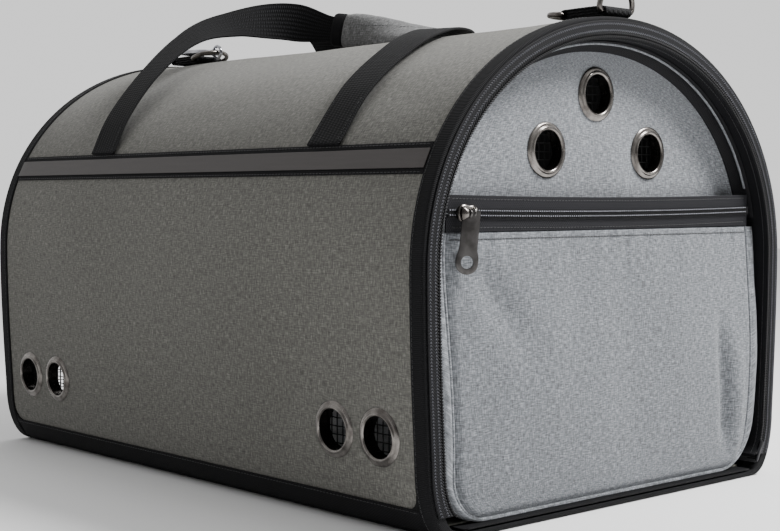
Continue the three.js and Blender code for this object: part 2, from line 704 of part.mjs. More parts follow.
// ---- assembly -----------------------------------------------------------
const carrier = new THREE.Group();
carrier.add(...shellParts(), ...sideGrommets(), ...rearEnd(), rimZip(), doorSlider());
carrier.add(...doorParts(), ...pocketParts(), pocketSlider(), pocketPuller());
carrier.add(...handles(), ...ridgeFittings());

export default carrier;
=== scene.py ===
import math

import bmesh
import bpy
from mathutils import Matrix, Vector, noise


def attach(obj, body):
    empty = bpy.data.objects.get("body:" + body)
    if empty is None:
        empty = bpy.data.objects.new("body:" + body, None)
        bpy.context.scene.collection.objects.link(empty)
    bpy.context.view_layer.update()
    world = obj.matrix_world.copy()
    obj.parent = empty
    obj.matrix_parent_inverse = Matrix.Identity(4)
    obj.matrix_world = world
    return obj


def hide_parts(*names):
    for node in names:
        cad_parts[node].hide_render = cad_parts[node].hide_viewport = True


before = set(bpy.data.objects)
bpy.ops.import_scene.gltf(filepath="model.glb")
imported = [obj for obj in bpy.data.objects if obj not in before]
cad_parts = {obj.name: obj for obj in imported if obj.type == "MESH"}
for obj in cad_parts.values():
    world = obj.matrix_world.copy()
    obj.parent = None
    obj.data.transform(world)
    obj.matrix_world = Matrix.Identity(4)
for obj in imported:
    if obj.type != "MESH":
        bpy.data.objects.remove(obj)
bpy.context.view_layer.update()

# Shapes are worked out in millimetres and turned to metres when a piece is made.
MM = 0.001

# ---- driving dimensions, millimetres -------------------------------------
LENGTH = 480
WIDTH = 340
HEIGHT = 300
BASE_HALF = 166
CORNER_X = 20
CORNER_Z = 42
WIDEST_Z = 150
ARCH_POWER = 2.05
FRONT_Y = -LENGTH / 2
REAR_Y = LENGTH / 2
ZIP_STAND = 1.3
BINDING_WIDTH = 11
RING_END = FRONT_Y + ZIP_STAND + BINDING_WIDTH
REAR_RING_START = REAR_Y - BINDING_WIDTH
BETWEEN = (RING_END + 0.3, REAR_RING_START - 0.3)
COVER_DEPTH = 1.5
LINING_DEPTH = 7.2
RIBBON = (203, 221)
REFLECTOR = (206.5, 217.5)
SIDE_GROMMET_Z = 55
SIDE_GROMMET_Y = (159.5, 199)
DOOR_GROMMETS = ((-3, 254), (-48.7, 218.4), (48.7, 218.4))
DOOR_FACE_Y = -219
DOOR_EDGE = 14
HINGE_Y = -239
POCKET_INSET = 24.5
POCKET_BOTTOM = 6.6
POCKET_CORNER = 28
POCKET_BORDER = 10.3
POCKET_TOP = 170
ZIP_LOW = 170.6
ZIP_HIGH = 191.8
ZIP_HALF = 144
ZIP_Z = (ZIP_LOW + ZIP_HIGH) / 2
ZIP_Y = -230
SLIDER = (-131.5, 181.2)
PULLER_LOW = 147.5
POCKET_LEAN = 5.8
POCKET_TUCK = 2.6
CLOTH_THICK = 0.9
HOLE = 14.6
TAB_Z = 303.8
EYE_OUTER = 231.3
EYE_INNER = 199.7
HOOK = (185.3, 309.3)


# ---- camera ---------------------------------------------------------------
def add_camera():
    data = bpy.data.cameras.new("camera")
    data.sensor_width = 36
    data.lens = 67.99
    data.shift_x = 0.0177
    data.shift_y = 0.0036
    camera = bpy.data.objects.new("camera", data)
    bpy.context.collection.objects.link(camera)
    camera.location = (-0.7169, -0.8124, 0.1906)
    turn = math.radians(41.82)
    dip = math.radians(2.79)
    look = Vector((math.sin(turn) * math.cos(dip), math.cos(turn) * math.cos(dip), -math.sin(dip)))
    camera.rotation_euler = look.to_track_quat("-Z", "Y").to_euler()
    bpy.context.scene.camera = camera


add_camera()


# ---- materials --------------------------------------------------------------
def srgb(red, green, blue):
    def linear(value):
        value /= 255
        return value / 12.92 if value < 0.04045 else ((value + 0.055) / 1.055) ** 2.4
    return (linear(red), linear(green), linear(blue), 1)


class Look:
    """A material and the nodes that feed its shader."""

    def __init__(self, name, roughness=0.9, metallic=0.0, sheen=0.0, specular=0.5):
        self.material = bpy.data.materials.new(name)
        self.material.use_nodes = True
        self.tree = self.material.node_tree
        self.shader = self.tree.nodes["Principled BSDF"]
        self.shader.inputs["Roughness"].default_value = roughness
        self.shader.inputs["Metallic"].default_value = metallic
        self.shader.inputs["Sheen Weight"].default_value = sheen
        self.shader.inputs["Sheen Roughness"].default_value = 0.5
        self.shader.inputs["Specular IOR Level"].default_value = specular

    def node(self, kind, **values):
        made = self.tree.nodes.new(kind)
        for key, value in values.items():
            setattr(made, key, value)
        return made

    def link(self, source, target):
        self.tree.links.new(source, target)

    def place(self, scale, uv=True, turn=0.0):
        coords = self.node("ShaderNodeTexCoord")
        mapping = self.node("ShaderNodeMapping")
        mapping.inputs["Scale"].default_value = scale
        mapping.inputs["Rotation"].default_value = (0, 0, turn)
        self.link(coords.outputs["UV" if uv else "Object"], mapping.inputs["Vector"])
        return mapping.outputs["Vector"]

    def noise(self, scale, detail=2.0, uv=True, turn=0.0):
        """Noise whose grains are 1 / scale metres long in each direction."""
        made = self.node("ShaderNodeTexNoise")
        made.inputs["Scale"].default_value = 1
        made.inputs["Detail"].default_value = detail
        self.link(self.place(scale, uv, turn), made.inputs["Vector"])
        return made.outputs["Fac"]

    def wave(self, pitch, direction="X", uv=True, turn=0.0, distortion=0.0):
        """Ribs of the given pitch in metres."""
        made = self.node("ShaderNodeTexWave", wave_type="BANDS", bands_direction=direction)
        made.inputs["Scale"].default_value = 1
        made.inputs["Distortion"].default_value = distortion
        ribs = math.pi / (10 * pitch)
        self.link(self.place((ribs, ribs, ribs), uv, turn), made.inputs["Vector"])
        return made.outputs["Fac"]

    def calc(self, operation, first, second):
        made = self.node("ShaderNodeMath", operation=operation)
        for socket, value in zip(made.inputs, (first, second)):
            if isinstance(value, (int, float)):
                socket.default_value = value
            else:
                self.link(value, socket)
        return made.outputs[0]

    def ramp(self, factor, stops):
        made = self.node("ShaderNodeValToRGB")
        steps = made.color_ramp.elements
        while len(steps) < len(stops):
            steps.new(0.5)
        for step, (position, colour) in zip(steps, stops):
            step.position = position
            step.color = colour
        self.link(factor, made.inputs["Fac"])
        return made.outputs["Color"]

    def blend(self, kind, factor, first, second):
        made = self.node("ShaderNodeMix", data_type="RGBA", blend_type=kind)
        for index, value in ((0, factor), (6, first), (7, second)):
            if isinstance(value, (int, float, tuple)):
                made.inputs[index].default_value = value
            else:
                self.link(value, made.inputs[index])
        return made.outputs[2]

    def colour(self, source):
        self.link(source, self.shader.inputs["Base Color"])
        return self

    def dye(self, factor, stops, patches, uneven):
        """Colour that follows factor, dulled and brightened in patches."""
        base = self.ramp(factor, stops)
        return self.colour(self.blend("MULTIPLY", 1.0, base, self.ramp(patches, uneven)))

    def rough(self, factor, low, high):
        span = self.node("ShaderNodeMapRange")
        span.inputs["To Min"].default_value = low
        span.inputs["To Max"].default_value = high
        self.link(factor, span.inputs["Value"])
        self.link(span.outputs["Result"], self.shader.inputs["Roughness"])
        return self

    def bump(self, height, strength, distance):
        made = self.node("ShaderNodeBump")
        made.inputs["Strength"].default_value = strength
        made.inputs["Distance"].default_value = distance
        self.link(height, made.inputs["Height"])
        if self.shader.inputs["Normal"].is_linked:
            self.link(self.shader.inputs["Normal"].links[0].from_socket, made.inputs["Normal"])
        self.link(made.outputs["Normal"], self.shader.inputs["Normal"])
        return self


def grey(value):
    return (value, value, value, 1)


def linen(name, dark, middle, light, uv=True):
    """Melange cloth: long flecks of lighter and darker thread crossing each other."""
    look = Look(name, roughness=0.88, sheen=0.12, specular=0.3)
    warp = look.calc("MULTIPLY", look.noise((230, 1250, 1250), 4, uv), 0.45)
    weft = look.calc("MULTIPLY", look.noise((1250, 230, 1250), 4, uv), 0.55)
    fleck = look.calc("ADD", warp, weft)
    threads = look.ramp(fleck, [(0.34, dark), (0.5, middle), (0.66, light)])
    slubs = look.ramp(look.noise((1100, 70, 1100), 2, uv),
                      [(0.25, grey(0.92)), (0.5, grey(1)), (0.78, grey(1.08))])
    cloudy = look.ramp(look.noise((9, 9, 9), 3, uv), [(0.3, grey(0.95)), (0.7, grey(1.04))])
    mixed = look.blend("MULTIPLY", 1.0, threads, slubs)
    look.colour(look.blend("MULTIPLY", 1.0, mixed, cloudy))
    look.bump(fleck, 0.55, 0.0005)
    grain = look.noise((1900, 1900, 1900), 2, uv)
    look.bump(grain, 0.35, 0.0003)
    return look.material


def ribbed(name, dark, light, pitch, direction="X", roughness=0.8, sheen=0.1, strength=0.6, uv=True):
    """Woven tape or grosgrain: fine ribs across it, coloured lighter on their crowns than in their grooves."""
    look = Look(name, roughness=roughness, sheen=sheen, specular=0.18)
    ribs = look.wave(pitch, direction, uv, distortion=0.4)
    fibres = look.noise((1400, 1400, 1400), 3, uv)
    worn = look.noise((55, 55, 55), 3, uv)
    height = look.calc("ADD", look.calc("MULTIPLY", ribs, 0.7), look.calc("MULTIPLY", fibres, 0.3))
    look.dye(height, [(0.25, dark), (0.85, light)], worn, [(0.3, grey(0.8)), (0.75, grey(1.15))])
    look.bump(height, strength, 0.0006)
    return look.material


def woven_strap(name, dark, light):
    """Heavy webbing: ribs along it broken by the crossing threads."""
    look = Look(name, roughness=0.75, sheen=0.0, specular=0.16)
    long_ribs = look.wave(0.0021, "Y", distortion=0.2)
    picks = look.wave(0.0016, "X", turn=0.35, distortion=0.3)
    fibres = look.noise((1500, 700, 1500), 3)
    height = look.calc("ADD", look.calc("MULTIPLY", look.calc("MULTIPLY", long_ribs, picks), 0.75),
                       look.calc("MULTIPLY", fibres, 0.25))
    worn = look.noise((40, 40, 40), 3)
    look.dye(height, [(0.15, dark), (0.8, light)], worn, [(0.3, grey(0.85)), (0.75, grey(1.15))])
    look.bump(height, 0.7, 0.0008)
    return look.material


def herringbone(name, dark, light):
    """Zip tape with slanting ribs."""
    look = Look(name, roughness=0.7, sheen=0.0, specular=0.2)
    slant = look.wave(0.0013, "X", turn=0.7)
    counter = look.wave(0.0013, "X", turn=-0.7)
    fibres = look.noise((1500, 1500, 1500), 2)
    height = look.calc("ADD", look.calc("MULTIPLY", look.calc("MAXIMUM", slant, counter), 0.7),
                       look.calc("MULTIPLY", fibres, 0.3))
    look.colour(look.ramp(height, [(0.3, dark), (0.9, light)]))
    look.bump(height, 0.5, 0.0004)
    return look.material


def metal(name, colour, dull, low, high, uv=False):
    """Brushed or plated metal with faint scratches and uneven polish."""
    look = Look(name, roughness=low, metallic=1.0)
    tarnish = look.noise((120, 120, 120), 4, uv)
    scratches = look.noise((300, 2600, 300), 3, uv, turn=0.4)
    look.colour(look.ramp(tarnish, [(0.35, dull), (0.65, colour)]))
    look.rough(scratches, low, high)
    look.bump(scratches, 0.08, 0.0002)
    return look.material


def fibrous(name, dark, light, scale, roughness=0.9, sheen=0.2, uv=False, strength=0.5, distance=0.0006):
    """Foam, fleece, board, thread or any other matter with an even fibrous grain."""
    look = Look(name, roughness=roughness, sheen=sheen, specular=0.3)
    grain = look.noise((scale, scale, scale), 4, uv)
    patches = look.noise((scale / 30, scale / 30, scale / 30), 3, uv)
    look.dye(grain, [(0.3, dark), (0.7, light)], patches, [(0.3, grey(0.88)), (0.7, grey(1.08))])
    look.bump(grain, strength, distance)
    return look.material


def reflective(name):
    """Taupe coated tape with tiny glass beads and a soft gloss."""
    look = Look(name, roughness=0.5, specular=0.35)
    beads = look.noise((2600, 2600, 2600), 2)
    streaks = look.noise((30, 500, 500), 2)
    look.dye(beads, [(0.3, srgb(44, 40, 39)), (0.75, srgb(64, 59, 57))],
             streaks, [(0.3, grey(0.9)), (0.7, grey(1.08))])
    look.rough(beads, 0.35, 0.6)
    look.bump(beads, 0.3, 0.0002)
    return look.material


THREAD_GRAIN = 2500
# The side cloth is the door's cloth made darker: painted shade for the walls that face away from the key light.
SIDE_CLOTH_PAINTED_SHADE = linen("cloth_side_painted_shade", srgb(64, 63, 59), srgb(91, 90, 85), srgb(122, 121, 115))
DOOR_CLOTH = linen("cloth_door", srgb(72, 74, 77), srgb(112, 115, 119), srgb(158, 161, 166))
# The pocket's cloth is the door's cloth made darker: painted shade for the pocket, which gets less light towards its
# bottom.
POCKET_CLOTH_PAINTED_SHADE = linen("cloth_pocket_painted_shade", srgb(66, 68, 71), srgb(102, 105, 109), srgb(144, 147, 152))
GRIP_CLOTH = linen("cloth_grip", srgb(66, 66, 66), srgb(98, 98, 98), srgb(134, 135, 136))
LINING_CLOTH = fibrous("cloth_lining", srgb(9, 9, 11), srgb(18, 18, 21), 900, uv=True, strength=0.35)
BINDING_TAPE = ribbed("binding_tape", srgb(5, 5, 6), srgb(19, 19, 22), 0.0011, "X", sheen=0.0)
EDGE_TAPE = ribbed("edge_tape", srgb(6, 6, 7), srgb(18, 18, 21), 0.0013, "X", sheen=0.0)
STRAP = woven_strap("webbing", srgb(4, 4, 5), srgb(23, 23, 26))
ZIP_TAPE = herringbone("zip_tape", srgb(7, 7, 9), srgb(25, 25, 30))
RIM_TAPE = herringbone("rim_tape", srgb(3, 3, 5), srgb(13, 13, 17))
TEETH = fibrous("zip_teeth", srgb(6, 6, 8), srgb(15, 15, 18), 700, 0.6, sheen=0.0, strength=0.15)
THREAD = fibrous("thread", srgb(10, 10, 12), srgb(24, 24, 27), THREAD_GRAIN, 0.65, strength=0.4)
# The coil's thread is coloured light as a painted glint along the pocket zip's coil.
COIL_THREAD_PAINTED_GLINTS = fibrous("thread_coil_painted_glints", srgb(110, 111, 118), srgb(165, 166, 175), THREAD_GRAIN, 0.5,
                      strength=0.3)
# The rim's thread is coloured light as a painted glint of the zip's teeth.
RIM_THREAD_PAINTED_GLINTS = fibrous("thread_rim_painted_glints", srgb(46, 47, 53), srgb(84, 85, 93), THREAD_GRAIN, 0.6, strength=0.3)
DOOR_THREAD = fibrous("thread_door", srgb(40, 41, 44), srgb(66, 68, 71), THREAD_GRAIN, 0.75, strength=0.4)
REFLECTIVE = reflective("reflective_tape")
NET = fibrous("net_yarn", srgb(3, 3, 4), srgb(8, 8, 9), 1800, roughness=0.8, sheen=0.02, strength=0.4)
NICKEL = metal("brushed_nickel", srgb(132, 128, 124), srgb(84, 80, 77), 0.14, 0.34)
GUNMETAL = metal("gunmetal", srgb(98, 96, 95), srgb(70, 68, 67), 0.26, 0.42)
CHROME = metal("chrome", srgb(178, 178, 182), srgb(142, 143, 148), 0.08, 0.18)
BLACK_METAL = metal("black_metal", srgb(48, 48, 51), srgb(26, 26, 28), 0.3, 0.45)
FOAM = fibrous("foam", srgb(58, 58, 60), srgb(80, 80, 82), 1200, strength=0.8)
BOARD = fibrous("board", srgb(78, 78, 72), srgb(104, 103, 96), 400, roughness=0.8, sheen=0.0)
FLEECE = fibrous("fleece", srgb(128, 129, 132), srgb(178, 179, 182), 520, roughness=1.0, sheen=0.6,
                 strength=1.0, distance=0.002)


# ---- the tunnel's outline ---------------------------------------------------
def arch_point(depth, angle):
    """Point of the arch above its widest place, from angle 0 at the side to a right angle at the ridge."""
    power = 2 / ARCH_POWER
    return ((WIDTH / 2 - depth) * max(math.cos(angle), 0) ** power,
            WIDEST_Z + (HEIGHT - WIDEST_Z - depth) * math.sin(angle) ** power)


def half_line(depth, low=None, corner=10, side=12, arch=44):
    """Right half of the section at a depth below the outermost surface, rising to the ridge.

    It starts at the end of the flat bottom, or at height low on the rounded corner.
    """
    edge = BASE_HALF - depth
    flat_end = BASE_HALF - CORNER_X - 0.45 * depth
    start = 0.0 if low is None else math.acos(min(1, (CORNER_Z - low) / (CORNER_Z - depth)))
    points = []
    for i in range(corner + 1):
        angle = start + (math.pi / 2 - start) * i / corner
        z = CORNER_Z - (CORNER_Z - depth) * math.cos(angle)
        points.append((flat_end + (edge - flat_end) * math.sin(angle), z))
    for i in range(1, side + 1):
        share = i / side
        x = edge + (WIDTH / 2 - BASE_HALF) * math.sin(share * math.pi / 2)
        points.append((x, CORNER_Z + (WIDEST_Z - CORNER_Z) * share))
    for i in range(1, arch + 1):
        x, z = arch_point(depth, i / arch * math.pi / 2)
        points.append((0 if i == arch else x, z))
    return points


def mirrored(points):
    return [(-x, z) for x, z in reversed(points)]


def arch_line(depth, low=None):
    half = half_line(depth, low)
    return half + mirrored(half[:-1])


def crown_line(depth, low, steps=48):
    """The arch above height low, from the right side over the ridge to the left."""
    start = math.asin(((low - WIDEST_Z) / (HEIGHT - WIDEST_Z - depth)) ** (ARCH_POWER / 2))
    half = []
    for i in range(steps + 1):
        x, z = arch_point(depth, start + (math.pi / 2 - start) * i / steps)
        half.append((0 if i == steps else x, z))
    return half + mirrored(half[:-1])


def closed_line(depth, across=24):
    line = arch_line(depth)
    left, right = line[-1], line[0]
    step = (right[0] - left[0]) / across
    return line + [(left[0] + step * i, left[1]) for i in range(1, across)]


def outline_x(z, depth=0.0):
    """Half width of the outline at height z."""
    if z >= WIDEST_Z:
        rise = (z - WIDEST_Z) / (HEIGHT - WIDEST_Z - depth)
        return (WIDTH / 2 - depth) * max(0, 1 - rise ** ARCH_POWER) ** (1 / ARCH_POWER)
    edge = BASE_HALF - depth
    if z >= CORNER_Z:
        share = (z - CORNER_Z) / (WIDEST_Z - CORNER_Z)
        return edge + (WIDTH / 2 - BASE_HALF) * math.sin(share * math.pi / 2)
    flat_end = BASE_HALF - CORNER_X - 0.45 * depth
    angle = math.acos(min(1, (CORNER_Z - z) / (CORNER_Z - depth)))
    return flat_end + (edge - flat_end) * math.sin(angle)


def on_arch(x, y, lift):
    """Point above the arch at x, lifted off it."""
    share = (abs(x) / (WIDTH / 2)) ** ARCH_POWER
    rise = (1 - share) ** (1 / ARCH_POWER)
    slope = (HEIGHT - WIDEST_Z) * (share / max(abs(x), 1e-6)) * (1 - share) ** (1 / ARCH_POWER - 1)
    normal = Vector((math.copysign(slope, x), 0, 1)).normalized()
    return Vector((x, y, WIDEST_Z + (HEIGHT - WIDEST_Z) * rise)) + normal * lift


def smooth(value, low, high):
    share = min(1, max(0, (value - low) / (high - low)))
    return share * share * (3 - 2 * share)


# ---- mesh building ------------------------------------------------------------
class Build:
    """Collects points, faces, their cloth coordinates and their material numbers."""

    def __init__(self):
        self.points = []
        self.faces = []
        self.coords = []
        self.looks = []

    def add(self, points, faces, coords=None, look=0):
        offset = len(self.points)
        self.points.extend(Vector(p) for p in points)
        for index, face in enumerate(faces):
            self.faces.append([corner + offset for corner in face])
            self.coords.append(coords[index] if coords else None)
            self.looks.append(look)
        return self

    def object(self, name, materials, sharp=None):
        mesh = bpy.data.meshes.new(name)
        mesh.from_pydata([p * MM for p in self.points], [], self.faces)
        layer = mesh.uv_layers.new(name="cloth")
        for polygon, coords, look in zip(mesh.polygons, self.coords, self.looks):
            polygon.material_index = look
            polygon.use_smooth = True
            for slot, loop in enumerate(polygon.loop_indices):
                if coords:
                    layer.data[loop].uv = (coords[slot][0] * MM, coords[slot][1] * MM)
                else:
                    point = mesh.vertices[mesh.loops[loop].vertex_index].co
                    layer.data[loop].uv = (point.x + point.y * 0.7, point.z + point.y * 0.3)
        for material in materials:
            mesh.materials.append(material)
        work = bmesh.new()
        work.from_mesh(mesh)
        bmesh.ops.remove_doubles(work, verts=work.verts, dist=1e-6)
        bmesh.ops.recalc_face_normals(work, faces=work.faces)
        if sharp:
            for edge in work.edges:
                if len(edge.link_faces) == 2 and edge.calc_face_angle(0) > math.radians(sharp):
                    edge.smooth = False
        work.to_mesh(mesh)
        work.free()
        made = bpy.data.objects.new(name, mesh)
        bpy.context.collection.objects.link(made)
        return made


def running(points, closed=False):
    """Length along a line of points up to each of them."""
    lengths = [0.0]
    ends = list(points) + ([points[0]] if closed else [])
    for first, second in zip(ends, ends[1:]):
        lengths.append(lengths[-1] + (Vector(second) - Vector(first)).length)
    return lengths


def lattice(build, rows, wrap_rows=False, wrap=False, caps=False, look=0, skip=None):
    """Faces between rows of points; wrap closes each row, wrap_rows joins the last row to the first."""
    count = len(rows[0])
    along = running([row[0] for row in rows], wrap_rows)
    across = running(rows[len(rows) // 2], wrap)
    faces, coords = [], []
    for i in range(len(rows) if wrap_rows else len(rows) - 1):
        nxt = (i + 1) % len(rows)
        for j in range(count if wrap else count - 1):
            side = (j + 1) % count
            if skip and skip(i, j):
                continue
            faces.append((i * count + j, nxt * count + j, nxt * count + side, i * count + side))
            coords.append(((along[i], across[j]), (along[i + 1], across[j]),
                           (along[i + 1], across[j + 1]), (along[i], across[j + 1])))
    if caps:
        last = (len(rows) - 1) * count
        faces.append(tuple(reversed(range(count))))
        faces.append(tuple(last + j for j in range(count)))
        coords.extend([None, None])
    build.add([p for row in rows for p in row], faces, coords, look)
    return build


def pill(low_a, high_a, low_b, high_b, radius, steps=3):
    """Rectangle with rounded corners as points (a, b)."""
    left, right, low, high = low_a + radius, high_a - radius, low_b + radius, high_b - radius
    points = []
    for start, (a, b) in enumerate(((right, high), (left, high), (left, low), (right, low))):
        for i in range(steps + 1):
            angle = (start + i / steps) * math.pi / 2
            points.append((a + radius * math.cos(angle), b + radius * math.sin(angle)))
    return points


def outline_band(build, profile, line, closed, look=0, low_depth=None):
    """Sweeps a closed profile of (depth, y) points round the section.

    low_depth is how deep the profile may reach along the flat bottom.
    """
    def flattened(x, z):
        if z <= low_depth or z > 20 or abs(x) > BASE_HALF - 8:
            return x, z
        return x, min(z, low_depth + (z - low_depth) * smooth(abs(x), BASE_HALF - 28, BASE_HALF - 8))
    lines = [line(depth) for depth, _ in profile]
    if low_depth is not None:
        lines = [[flattened(x, z) for x, z in one] for one in lines]
    rows = [[(lines[j][i][0], y, lines[j][i][1]) for j, (_, y) in enumerate(profile)]
            for i in range(len(lines[0]))]
    return lattice(build, rows, wrap_rows=closed, wrap=True, caps=not closed, look=look)


def hoop(centre, first, second, radius, sides):
    """Points round a centre in the plane of two directions."""
    turns = [k * math.tau / sides for k in range(sides)]
    return [centre + (first * math.cos(turn) + second * math.sin(turn)) * radius for turn in turns]


ROD_ENDS = ((-0.75, 0.45), (-0.2, 0.9), (0.3, 1.0))


def capsule(build, start, end, radius, sides=6, look=0, up=None):
    """Small rounded rod: a stitch or a tooth."""
    start, end = Vector(start), Vector(end)
    along = (end - start).normalized()
    guide = Vector(up or ((0, 0, 1) if abs(along.z) < 0.9 else (1, 0, 0)))
    first = along.cross(guide).normalized()
    second = first.cross(along).normalized()
    places = [(start + along * push * radius, share) for push, share in ROD_ENDS]
    places += [(end - along * push * radius, share) for push, share in reversed(ROD_ENDS)]
    rows = [hoop(centre, first, second, radius * share, sides) for centre, share in places]
    lattice(build, rows, wrap=True, caps=True, look=look)


def resample(points, pitch, closed=False):
    """(place, direction) at even steps along a line."""
    points = [Vector(p) for p in points] + ([Vector(points[0])] if closed else [])
    lengths = running(points)
    count = max(1, int(lengths[-1] / pitch))
    step = lengths[-1] / count
    found, index = [], 0
    for k in range(count):
        target = (k + 0.5) * step
        while lengths[index + 1] < target:
            index += 1
        share = (target - lengths[index]) / (lengths[index + 1] - lengths[index])
        place = points[index].lerp(points[index + 1], share)
        found.append((place, (points[index + 1] - points[index]).normalized()))
    return found


def stitches(build, points, pitch=3.0, length=1.9, radius=0.24, closed=False, look=0):
    for place, along in resample(points, pitch, closed):
        capsule(build, place - along * length / 2, place + along * length / 2, radius, 5, look)


def piece(made, body, replaced=()):
    if replaced:
        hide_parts(*replaced)
    if body:
        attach(made, body)
    return made


def thicken(made, amount, offset=-1.0):
    solid = made.modifiers.new("thickness", "SOLIDIFY")
    solid.thickness = amount * MM
    solid.offset = offset
    return made


def flat_normals(made):
    made.modifiers.new("normals", "WEIGHTED_NORMAL").keep_sharp = True
    return made


def sewn(build, name, looks, body, node):
    """A tape or strap with crisp flat faces, in the place of one CAD node."""
    return piece(flat_normals(build.object(name, looks)), body, [node])


def keep(node, material):
    """Gives a CAD node that stays its own material."""
    shown = bpy.data.objects[node]
    shown.data.materials.clear()
    shown.data.materials.append(material)


# ---- walls of the tunnel ------------------------------------------------------
SIDE_LEAN = (outline_x(SIDE_GROMMET_Z + 17) - outline_x(SIDE_GROMMET_Z - 12)) / 29
EYELET_PLACES = [(side, sign * y) for side in (-1, 1) for sign in (-1, 1) for y in SIDE_GROMMET_Y]


def round_hole(point, centre, radius, rim):
    """A point of a cloth near a round hole: (where it goes, whether it is cut away)."""
    away = Vector(point) - Vector(centre)
    if away.length >= radius:
        return point, False
    if away.length > radius - rim and away.length > 0.1:
        return tuple(Vector(centre) + away.normalized() * radius), False
    return point, True


def touching(holes):
    return lambda i, j: any((a, b) in holes for a in (i, i + 1) for b in (j, j + 1))


def wall_skin(depth, low, hole, dent):
    """Cloth round the tunnel from one lower corner over the ridge to the other, with round holes."""
    line = arch_line(depth, low)
    line = [place for place, _ in resample([(x, 0, z) for x, z in line], 3.6)]
    count = 128
    front, rear = FRONT_Y + ZIP_STAND + 1.8, REAR_Y - 1.8
    spacing = (rear - front) / count
    rows, holes = [], set()
    for i in range(count + 1):
        y = front + spacing * i
        row = []
        for j, place in enumerate(line):
            x, z = place.x, place.z
            before, after = line[max(j - 1, 0)], line[min(j + 1, len(line) - 1)]
            normal = Vector((after.z - before.z, 0, before.x - after.x)).normalized()
            here = y
            for side, hole_y in EYELET_PLACES:
                if x * side > 0 and z < 100:
                    (here, z), cut = round_hole((here, z), (hole_y, SIDE_GROMMET_Z), hole, 5)
                    if cut:
                        holes.add((i, j))
            sunk = dent(x, here, z)
            row.append(Vector((x, here, z)) - normal * sunk)
        rows.append(row)
    return lattice(Build(), rows, skip=touching(holes))


def cover_dent(x, y, z):
    """How far the outer cloth sinks between its seams."""
    edge = smooth(min(y - BETWEEN[0], BETWEEN[1] - y), 0, 45)
    band = smooth(abs(z - (RIBBON[0] + RIBBON[1]) / 2), 9, 45) if abs(x) > 100 else 1
    low = smooth(z, 17, 60)
    eyelet = 1.0
    for side, hole_y in EYELET_PLACES:
        if x * side > 0 and z < 120:
            eyelet = min(eyelet, smooth(math.hypot(y - hole_y, z - SIDE_GROMMET_Z), 17, 50))
    broad = noise.noise(Vector((x * 0.011, y * 0.009, z * 0.011))) + 0.55
    fine = noise.noise(Vector((x * 0.035 + 7, y * 0.03, z * 0.035))) * 0.3
    return edge * band * low * eyelet * max(0, 1.5 * broad + fine)


cover = wall_skin(COVER_DEPTH, 10.5, HOLE, cover_dent).object("cover_skin", [SIDE_CLOTH_PAINTED_SHADE])
thicken(cover, CLOTH_THICK, 0)
piece(cover, "shell", ["outer_cover"])
lining = wall_skin(LINING_DEPTH, 9.5, 14.0, lambda x, y, z: 0.0).object("lining_skin", [LINING_CLOTH])
thicken(lining, 0.5, 0)
piece(lining, "shell", ["lining"])


def tray():
    """Black cloth under the bag, wrapping up to the bottom bindings."""
    def line(depth, top=10):
        right = [p for p in half_line(depth, corner=24) if p[1] < top - 0.3]
        right.append((outline_x(top, depth), top))
        flat = [(right[0][0] * (-1 + i / 12), right[0][1]) for i in range(1, 24)]
        return mirrored(right) + flat + right
    outer = line(1.6)
    low = [(x, max(0.0, z - 1.6) if z < 3.0 else z) for x, z in outer]
    rows = []
    for i in range(41):
        y = BETWEEN[0] + (BETWEEN[1] - BETWEEN[0]) * i / 40
        rows.append([Vector((x, y, z + 0.02)) for x, z in low])
    return lattice(Build(), rows)


base = tray().object("base_skin", [EDGE_TAPE])
thicken(base, CLOTH_THICK, 0)
piece(base, "shell", ["base_panel"])


# ---- bindings ------------------------------------------------------------------
def rim_profile(y_out, y_in, wall=1.1, inner_depth=9.0):
    """Tape folded over the wall's edge: flat outside, rounded over the rim, flat inside."""
    turn = 1 if y_out < y_in else -1
    outer = [(0.35, y_in), (0.05, y_in - turn * 0.5), (0, y_in - turn * 2)]
    outer += [(0, y_out + turn * 2.2), (0.25, y_out + turn * 0.9), (0.9, y_out + turn * 0.25),
              (1.9, y_out)]
    outer += [(inner_depth - 1.9, y_out), (inner_depth - 0.8, y_out + turn * 0.3),
              (inner_depth - 0.15, y_out + turn * 1.0), (inner_depth, y_out + turn * 2.2)]
    outer += [(inner_depth, y_in - turn * 1), (inner_depth - 0.3, y_in)]
    inner = [(inner_depth - wall + 0.2, y_in), (inner_depth - wall, y_out + turn * 1.5),
             (wall, y_out + turn * 1.5), (wall, y_in)]
    return outer + inner


def stitch_line(depth, y, low=None, closed=True):
    line = closed_line(depth) if closed else arch_line(depth, low)
    return [(x, y, z) for x, z in line]


def rim_binding(name, node, y_out, y_in, low_depth=None):
    build = Build()
    outline_band(build, rim_profile(y_out, y_in), closed_line, True, low_depth=low_depth)
    turn = 1 if y_out < y_in else -1
    stitches(build, stitch_line(-0.02, y_in - turn * 1.9), closed=True, look=1)
    sewn(build, name, [BINDING_TAPE, THREAD], "shell", node)


rim_binding("front_binding_band", "front_binding", FRONT_Y + ZIP_STAND, RING_END, 3.2)
rim_binding("rear_binding_band", "rear_binding", REAR_Y, REAR_RING_START)


def side_strip(build, side, low, high, outer, inner, steps=60):
    """Tape along the side between two heights, with rounded edges."""
    start, end = BETWEEN
    profile = pill(low, high, outer, inner, min(0.45 * abs(inner - outer), 0.5))
    rows = []
    for i in range(steps + 1):
        y = start + (end - start) * i / steps
        rows.append([Vector((side * outline_x(z, depth), y, z)) for z, depth in profile])
    lattice(build, rows, wrap=True, caps=True)


